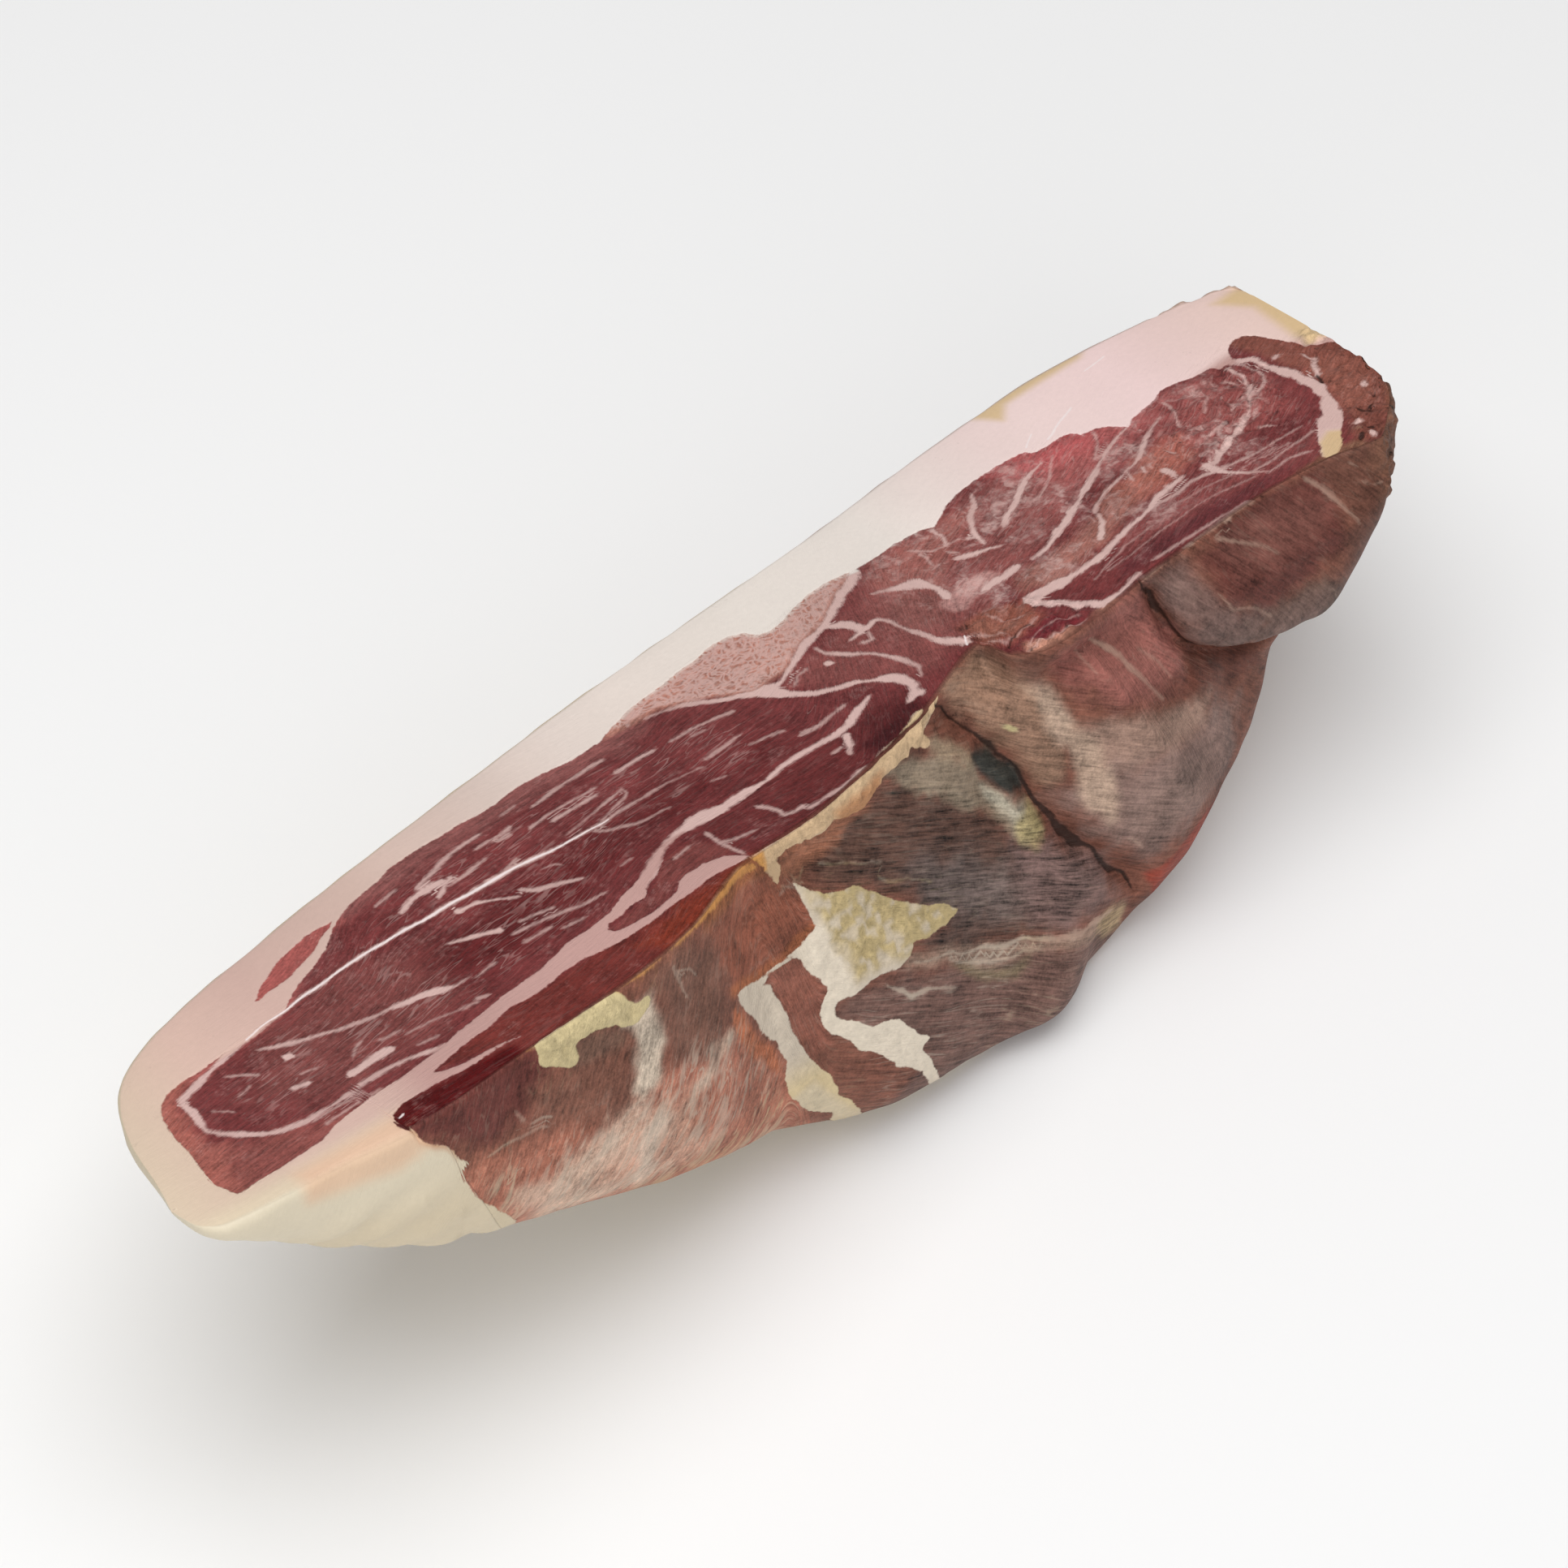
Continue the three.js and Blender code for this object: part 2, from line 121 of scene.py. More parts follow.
# The pressed muscles of the inner side.
inner = {
    "bladeLine": [(0, 190), (10, 197), (22, 204), (33, 208), (50, 216), (66, 227), (90, 240)],
    "bladeDepth": 4.5, "bladeHalfWidth": 3.4, "bladeFade": (1, 8, 64, 78),
    "endEdge": [
        (236, -24), (244, 0), (247, 10), (250, 18), (258, 26), (266, 31), (276, 34.5), (290, 38),
        (322, 42),
    ],
    "endProud": 5.5, "endRoundOver": 9.0,
    "endCleft": 3.0, "endCleftHalfWidth": 2.8,
    "overhang": 2.2, "overhangAt": 3.0, "overhangReach": 4.0,
    "shoulder": 3.5, "shoulderAt": -8.0, "shoulderReach": 10.0, "shoulderFrom": (250, 262),
    "ridgeFade": 14.0, "endFade": (294, 314),
    # x, g, reach in x, reach in g, height
    "swellings": [
        (243, 38, 20, 24, 2.5), (183, 42, 20, 22, 2.5), (92, 30, 26, 18, 1.5), (197, 24, 5, 9, -2.5),
        (224, 8, 15, 4.5, -4.5), (150, 10, 24, 5, -2), (202, 82, 11, 15, 5), (224, 76, 10, 12, -3.5),
    ],
    "foldHeight": 0.6, "foldAt": (32, 18), "foldSpacing": 12.0, "foldSlant": 0.5, "foldFrom": (6, 16),
    "floorFade": (0.5, 9), "shareFade": (0.5, 0.6), "leftReach": 20.0, "rightReach": 16.0, "stub": 4.0,
}

# How finely the skin is divided.
fineness = {
    "step": 0.62,  # between stations along x
    "archSteps": 400,
    "leanFace": 106, "leanSide": 78, "fatFace": 12, "fatSide": 84, "fatRim": 36, "seam": 8,
}


def smoothCurve(points):
    # Monotone cubic through the points: Hermite pieces whose slopes are weighted harmonic means of the
    # neighbouring chords' slopes, and 0 where those differ in sign.
    knots, values = np.array(points, float).T
    run = np.diff(knots)
    slope = np.diff(values) / run
    before, after = 2 * run[1:] + run[:-1], run[1:] + 2 * run[:-1]
    same = slope[:-1] * slope[1:] > 0
    safe = np.where(same, slope[:-1], 1), np.where(same, slope[1:], 1)
    middle = np.where(same, (before + after) / (before / safe[0] + after / safe[1]), 0)
    tangent = np.concatenate([slope[:1], middle, slope[-1:]])

    def at(x):
        # the Hermite piece that x falls in
        x = np.clip(x, knots[0], knots[-1])
        i = np.clip(np.searchsorted(knots, x, side="right") - 1, 0, len(run) - 1)
        t = (x - knots[i]) / run[i]
        return (
            (1 + 2 * t) * (1 - t) ** 2 * values[i] + t * (1 - t) ** 2 * run[i] * tangent[i]
            + t * t * (3 - 2 * t) * values[i + 1] + t * t * (t - 1) * run[i] * tangent[i + 1]
        )
    return at


def endRound(fromEnd, reach, power=2.0):
    # 0 at an end, rising like a quarter round to 1 at the reach: (1 - (1 - t)^p)^(1/p).
    t = np.clip(fromEnd / reach, 0, 1)
    return (1 - (1 - t) ** power) ** (1 / power)


def smoothStep(value, start, stop):
    # 3t^2 - 2t^3 with t running from 0 at start to 1 at stop.
    t = np.clip((value - start) / (stop - start), 0, 1)
    return t * t * (3 - 2 * t)


def bell(distance, reach):
    # e to the minus (distance / reach) squared.
    return np.exp(-((distance / reach) ** 2))


def mix(a, b, share):
    # a + (b - a) * share.
    return a + (b - a) * share


def softNoise(points, size, seed):
    # Value noise: random numbers at the corners of cubes of this size, blended by 3t^2 - 2t^3 along
    # each axis. Runs from -1 to 1.
    table = np.random.default_rng(seed).uniform(-1, 1, 4096)
    at = np.asarray(points, float) / size
    cell = np.floor(at).astype(np.int64)
    t = at - cell
    t = t * t * (3 - 2 * t)
    total = 0
    for corner in np.ndindex(2, 2, 2):
        i, j, k = (cell[..., n] + corner[n] for n in range(3))
        value = table[((i * 73856093) ^ (j * 19349663) ^ (k * 83492791)) & 4095]
        weights = [t[..., n] if corner[n] else 1 - t[..., n] for n in range(3)]
        total = total + value * weights[0] * weights[1] * weights[2]
    return total


curves = {
    name: smoothCurve(table[name])
    for table, names in (
        (body, ("backEdge", "ridgeEdge", "ridgeNotch", "depth", "innerSwell", "backSwell")),
        (border, ("upper", "lower", "fatBegins", "underneath")),
        (inner, ("bladeLine", "endEdge")),
    )
    for name in names
}


def bodySection(x):
    # The whole section at x: its two edges, the rounding of the edges, its depth and its two swellings.
    fromRight = body["length"] - x
    sides = endRound(x, body["leftDepthReach"])
    sides = sides * endRound(fromRight + body["rightStub"], body["rightDepthReach"])
    corner = body["cornerDrop"] * (1 - endRound(fromRight, body["cornerReach"], body["cornerPower"]))
    return {
        "left": curves["ridgeEdge"](x),
        "right": curves["backEdge"](x) - corner,
        "top": body["edgeRound"] * endRound(x, body["leftEdgeReach"]),
        "depth": curves["depth"](x) * sides,
        "leftSwell": curves["innerSwell"](x) * sides,
        "rightSwell": curves["backSwell"](x) * sides,
    }


def measuredArch(section):
    # The curve under the cut face: a squared-off half ellipse of power 2 / boxiness, pushed out sideways
    # by the swellings, and the length along it from its left end. One row of points for each station.
    angle = math.pi * np.linspace(0, 1, fineness["archSteps"] + 1)
    across, down = np.cos(angle), np.sin(angle)
    left, right, top, depth, leftSwell, rightSwell = (
        section[name][:, None] for name in ("left", "right", "top", "depth", "leftSwell", "rightSwell")
    )
    power = 2 / body["boxiness"]
    lean = across * (across ** 2 + body["swellBlend"]) ** -0.25
    swell = -lean * down ** 2 * np.where(across > 0, leftSwell, rightSwell)
    c = (left + right) / 2 - (right - left) / 2 * np.sign(across) * np.abs(across) ** power + swell
    d = top + depth * np.abs(down) ** power
    steps = np.hypot(np.diff(c, axis=1), np.diff(d, axis=1))
    lengths = np.concatenate([np.zeros((len(c), 1)), np.cumsum(steps, axis=1)], axis=1)
    return c, d, lengths


def alongRows(at, lengths, values):
    # Straight interpolation of every row in its own lengths, done in one call by setting the rows apart.
    apart = np.arange(len(lengths))[:, None] * (lengths.max() + 1)
    return np.interp((at + apart).ravel(), (lengths + apart).ravel(), values.ravel()).reshape(at.shape)


def sideRelief(x, g):
    # How far the inner side stands out at (x, g), and how far its lip hangs over: bells along the two
    # clefts, a quarter-round step at the end muscle, bells for the swellings and a slanted sine for folds.
    line, edge = curves["bladeLine"], curves["endEdge"]
    toBlade = (x - line(g)) / np.hypot(1, (line(g + 1) - line(g - 1)) / 2)
    fade = inner["bladeFade"]
    bladeFade = smoothStep(g, fade[0], fade[1]) * (1 - smoothStep(g, fade[2], fade[3]))
    out = -inner["bladeDepth"] * bell(toBlade, inner["bladeHalfWidth"]) * bladeFade
    inside = (edge(x) - g) / np.hypot(1, (edge(x + 1) - edge(x - 1)) / 2)
    toEnd = 1 - smoothStep(x, *inner["endFade"])
    endFade = toEnd * smoothStep(g, 0, inner["ridgeFade"])
    hollow = bell(inside - inner["shoulderAt"], inner["shoulderReach"])
    out += inner["endProud"] * endRound(inside, inner["endRoundOver"]) * endFade
    out -= inner["endCleft"] * bell(inside, inner["endCleftHalfWidth"]) * toEnd * smoothStep(g, 0, 7)
    out -= inner["shoulder"] * hollow * endFade * smoothStep(x, *inner["shoulderFrom"])
    overhang = -inner["overhang"] * bell(inside - inner["overhangAt"], inner["overhangReach"]) * endFade
    for atX, atG, reachX, reachG, height in inner["swellings"]:
        out += height * bell(x - atX, reachX) * bell(g - atG, reachG)
    folds = np.sin((g + x * inner["foldSlant"]) * 2 * math.pi / inner["foldSpacing"])
    foldAt, foldReach = inner["foldAt"]
    out += inner["foldHeight"] * folds * bell(x - foldAt, foldReach) * smoothStep(g, *inner["foldFrom"])
    return out, overhang


def toFrame(x, c, d, rest=0.0):
    # From x, c across the cut face and d square down from it to the part's frame. What would hang below
    # the height of rest is pressed flat, by a parabola over floorBlend and then a plane.
    blend, tilt = body["floorBlend"], body["tilt"]
    height = body["cutHeight"] - rest - c * math.sin(tilt) - d * math.cos(tilt)
    z = np.where(height < blend, (height + blend) ** 2 / (4 * blend), height)
    z = np.where(height < -blend, 0, z)
    y = c * math.cos(tilt) - d * math.sin(tilt)
    return np.stack(np.broadcast_arrays(x, y, rest + z), -1) - body["origin"]


def skinPoint(x, q):
    # The outer surface at stations x (one per row) and distances q: negative on the cut face up to the
    # ridge at 0, then over the rounded edge, down the inner side, under, up the back, and on the face
    # again.
    section = bodySection(x)
    archC, archD, lengths = measuredArch(section)
    total = lengths[:, -1:]
    left, right, top = (section[name][:, None] for name in ("left", "right", "top"))
    notch = curves["ridgeNotch"](x)[:, None]
    x = x[:, None]
    bend = top * math.pi / 2
    g = np.clip(q - bend, 0, total)
    c, d = alongRows(g, lengths, archC), alongRows(g, lengths, archD)
    step = np.maximum(total / (2 * fineness["archSteps"]), 1e-4)
    before, after = np.clip(g - step, 0, total), np.clip(g + step, 0, total)
    alongC = alongRows(after, lengths, archC) - alongRows(before, lengths, archC)
    alongD = alongRows(after, lengths, archD) - alongRows(before, lengths, archD)
    size = np.maximum(np.hypot(alongC, alongD), 1e-9)
    out, overhang = sideRelief(np.broadcast_to(x, g.shape), g)
    aboveFloor = body["cutHeight"] - c * math.sin(body["tilt"]) - d * math.cos(body["tilt"])
    fade = smoothStep(aboveFloor, *inner["floorFade"])
    fade = fade * (1 - smoothStep(g / np.maximum(total, 1e-9), *inner["shareFade"]))
    fromRight = body["length"] - x + inner["stub"]
    push = out * fade * endRound(x, inner["leftReach"]) * endRound(fromRight, inner["rightReach"])
    shift = notch * (1 - smoothStep(g, 0, body["notchReach"]))
    side = toFrame(x + overhang * fade, c + shift - alongD / size * push, d + alongC / size * push)

    turn = np.clip(q / np.maximum(top, 1e-6), 0, math.pi / 2)
    ridge = toFrame(x, left + notch + top * (1 - np.sin(turn)), top * (1 - np.cos(turn)))
    turn = np.clip((q - bend - total) / np.maximum(top, 1e-6), 0, math.pi / 2)
    back = toFrame(x, right - top * (1 - np.cos(turn)), top * (1 - np.sin(turn)))
    face = toFrame(x, left + top + notch - q, 0 * q)
    rim = toFrame(x, right - top - (q - total - 2 * bend), 0 * q)
    point = np.where((q < bend)[..., None], ridge, side)
    point = np.where((q > bend + total)[..., None], back, point)
    point = np.where((q <= 0)[..., None], face, point)
    return np.where((q > total + 2 * bend)[..., None], rim, point)


def borders(x):
    # For each station the distances q of the lean meat's two borders and of the back edge: the upper
    # border across the face, the lower one on the face and then down the side, and the whole way round.
    section = bodySection(x)
    lengths = measuredArch(section)[2]
    faceFrom = section["left"] + section["top"] + curves["ridgeNotch"](x)
    upper = curves["upper"](x) * endRound(x - border["leanFrom"], border["upperReach"])
    lower = curves["lower"](x) * endRound(x - border["leanFrom"], border["lowerReach"])
    begins = mix(faceFrom - lower, curves["fatBegins"](x), smoothStep(x, *border["turn"]))
    total = lengths[:, -1] + math.pi * section["top"]
    return faceFrom, upper, begins, total, section["right"] - section["top"]


def seamRows(x, rest, gap):
    # The hidden surface between the two pieces: the lean meat's own squared half ellipse, from where its
    # lower border comes in by the shortest way to its upper border.
    section = bodySection(x)
    faceFrom, upper, begins = borders(x)[:3]
    inset = border["sideThickness"] * smoothStep(begins, 0, border["sideOver"])
    depth = section["depth"] - curves["underneath"](x)
    depth = np.maximum(depth * endRound(x - border["leanFrom"], border["depthReach"]), 0)
    depth = depth + gap * (depth > 0)
    share = depth / np.maximum(section["depth"], 1e-6)
    hidden = dict(section, left=faceFrom - np.minimum(begins, 0) + inset, right=upper, top=0 * x)
    hidden.update(depth=depth, leftSwell=section["leftSwell"] * share)
    hidden.update(rightSwell=section["rightSwell"] * share)
    c, d, lengths = measuredArch(hidden)
    archC, archD, outerLengths = measuredArch(section)
    g = np.maximum(begins - section["top"] * math.pi / 2, 0)[:, None]
    fromC, fromD = alongRows(g, outerLengths, archC), alongRows(g, outerLengths, archD)
    nearest = np.hypot(c - fromC, d - fromD).argmin(1)
    first = np.where(begins <= 0, 0, lengths[np.arange(len(x)), nearest])
    t = np.linspace(0, 1, fineness["seam"] + 1)[1:-1]
    at = mix(first[:, None], lengths[:, -1:], t)
    return toFrame(x[:, None], alongRows(at, lengths, c), alongRows(at, lengths, d), rest)


def spread(start, stop, count):
    # Even shares from start to stop, one row for each station, without the last.
    return mix(start[:, None], stop[:, None], np.arange(count) / count)


nearEnd = np.array([0, 0.08, 0.3, 0.7, 1.2, 1.8, 2.5, 3.3, 4.2, 5.2, 6.3, 7.5, 8.5])  # closer at the tip
leanLength = body["length"] - border["leanFrom"]
leanX = np.linspace(border["leanFrom"], body["length"], round(leanLength / fineness["step"]) + 1)
allX = np.concatenate([nearEnd, leanX])
faceFrom, upperC, beginsQ, totalQ, faceTo = borders(allX)
overRidge = np.minimum(beginsQ, 0)
rows = [
    (faceFrom - upperC, overRidge, fineness["leanFace"]), (overRidge, beginsQ, fineness["leanSide"]),
    (beginsQ, np.maximum(beginsQ, 0), fineness["fatFace"]),
    (np.maximum(beginsQ, 0), totalQ, fineness["fatSide"]),
    (totalQ, totalQ + faceTo - upperC, fineness["fatRim"]),
]
q = np.concatenate([spread(*row) for row in rows] + [(totalQ + faceTo - upperC)[:, None]], axis=1)
leanRows = fineness["leanFace"] + fineness["leanSide"]

skin = skinPoint(allX, q)
reach = 0.25  # for the slopes that give the normals
alongX = skinPoint(allX + reach, q) - skinPoint(np.maximum(allX - reach, 0), q)
alongQ = skinPoint(allX, q + reach) - skinPoint(allX, q - reach)
normal = np.cross(alongQ, alongX)
normal /= np.maximum(np.linalg.norm(normal, axis=-1, keepdims=True), 1e-9)
normal[0] = (-1, 0, 0)
print("skin", skin.shape, "from", skin.min((0, 1)).round(1), "to", skin.max((0, 1)).round(1))

xGrid = np.broadcast_to(allX[:, None], q.shape)
onFace = (q <= 0) | (q >= totalQ[:, None])
cGrid = np.where(q <= 0, faceFrom[:, None] - q, faceTo[:, None] - (q - totalQ[:, None]))
gGrid = np.maximum(q, 0)
# The cut face as it lies in the meat, in (x, c). An outline is a closed polygon; a line has points
# (x, c) and one half width before them, or points (x, c, half width).
faceFat = [  # the rim of fat, the fat round the pointed end and the thick lower seam, in one outline
    (-20, -30), (43.8, -30), (43.8, -14), (42.9, -10.5), (43.8, -8), (46.5, -6.7), (50.3, -6.3),
    (55.6, -6.5), (63.1, -7), (68.5, -7), (73.7, -7.4), (69, -6.3), (62, -5.4), (57.5, -4.3),
    (56.3, -3.3), (60.9, -1.7), (66.2, -0.6), (70.7, 0), (77.5, 1.7), (80, 1.4), (84.5, 1.4),
    (89.8, 2.6), (95.2, 2.7), (100, 2), (105.8, 2), (110.3, 2.6), (114.8, 3.3), (120.2, 3.9),
    (125.5, 4.7), (130, 4.8), (132.3, 4.5), (135.7, 3.7), (133.8, 6.4), (131.5, 8.5), (127, 9.8),
    (123.2, 9.4), (120.9, 8.3), (119.4, 6.4), (114.8, 5), (110.3, 4.7), (105.8, 4.8), (103.5, 5.2),
    (102.8, 6.7), (104.2, 8.5), (107.3, 8.8), (110.3, 9.4), (113.3, 9.5), (114.5, 10.4), (115.6, 12.8),
    (119.4, 15.1), (122.4, 17), (125.5, 19.2), (130, 20.4), (124.7, 20), (120.2, 17.7), (114.8, 14.7),
    (110.3, 12.8), (105.8, 11.1), (100, 9.6), (95.2, 9), (89.8, 7.9), (86.8, 6.4), (80, 6), (70, 4),
    (60, 1.5), (52.5, 0.3), (48, 0), (43.5, -0.6), (38.9, -1.5), (34.4, -2.5), (30.6, -4), (26, -4.6),
    (20.7, -5), (16.2, -5.2), (12, -5.3), (11.3, -4.4), (10.1, -1.4), (9.4, 1.7), (10, 5.5), (10.5, 10),
    (11, 14.5), (11.6, 19.1), (12.4, 22.9), (14.3, 26.7), (17.3, 29.3), (20.7, 30), (24.5, 30.6),
    (28, 31.2), (31.7, 31), (35.9, 31.6), (40.4, 32.1), (46.5, 34.2), (50.3, 36.9), (54, 39.2),
    (57.8, 41), (61.6, 43), (63.9, 45.2), (66.2, 47.5), (69.2, 49.8), (73, 51.5), (77.5, 52.8),
    (81.3, 54), (84.5, 55.6), (89.8, 56.1), (105, 56.4), (110.3, 56.4), (115.6, 57.7), (120.2, 57.9),
    (125.5, 57.5), (130, 57), (136, 57.4), (139.8, 59.4), (143.6, 60.5), (148.2, 61.7), (152.7, 62.6),
    (156.5, 63.6), (160.3, 64.5), (164.5, 65), (168.3, 66.2), (173.6, 66), (177, 64.8), (178.2, 62.2),
    (180.5, 61.1), (183.5, 61.8), (188, 63.7), (193.3, 65.2), (199.4, 65.5), (205.5, 64.8), (210, 65.6),
    (216, 66), (222.1, 65.6), (225.2, 64.5), (228.2, 66.4), (231.2, 68.6), (235.8, 70.2), (240.3, 71.1),
    (245.6, 71.6), (249.8, 71.9), (254, 71.4), (255.2, 69.6), (258.2, 69.6), (262, 70.2), (264.6, 69.2),
    (265.8, 67), (268.8, 66.6), (271.1, 65.1), (273.3, 61.7), (276.4, 63.9), (280.2, 64.3),
    (283.9, 65.1), (287, 67), (290.8, 66.6), (293, 65.8), (298.6, 65.2), (299.8, 63.6), (303.6, 63.6),
    (305.5, 68.1), (306.7, 69.2), (308.9, 70), (311.2, 69.2), (312.7, 67), (314.2, 63.9), (315.8, 60.2),
    (317.3, 55.6), (319.5, 54.5), (323, 52.5), (340, 52), (340, 120), (-20, 120),
]
faceSliver = [  # a strip of red meat inside the fat
    (43.5, 40.2), (46.5, 43), (50.3, 45.2), (54, 47.5), (58.6, 49), (63.2, 50), (67.3, 49.9),
    (66.2, 48.6), (63.9, 47.3), (60.1, 44.5), (56.3, 43.2), (52.5, 41.8), (48, 40.7), (44.2, 39.9),
]
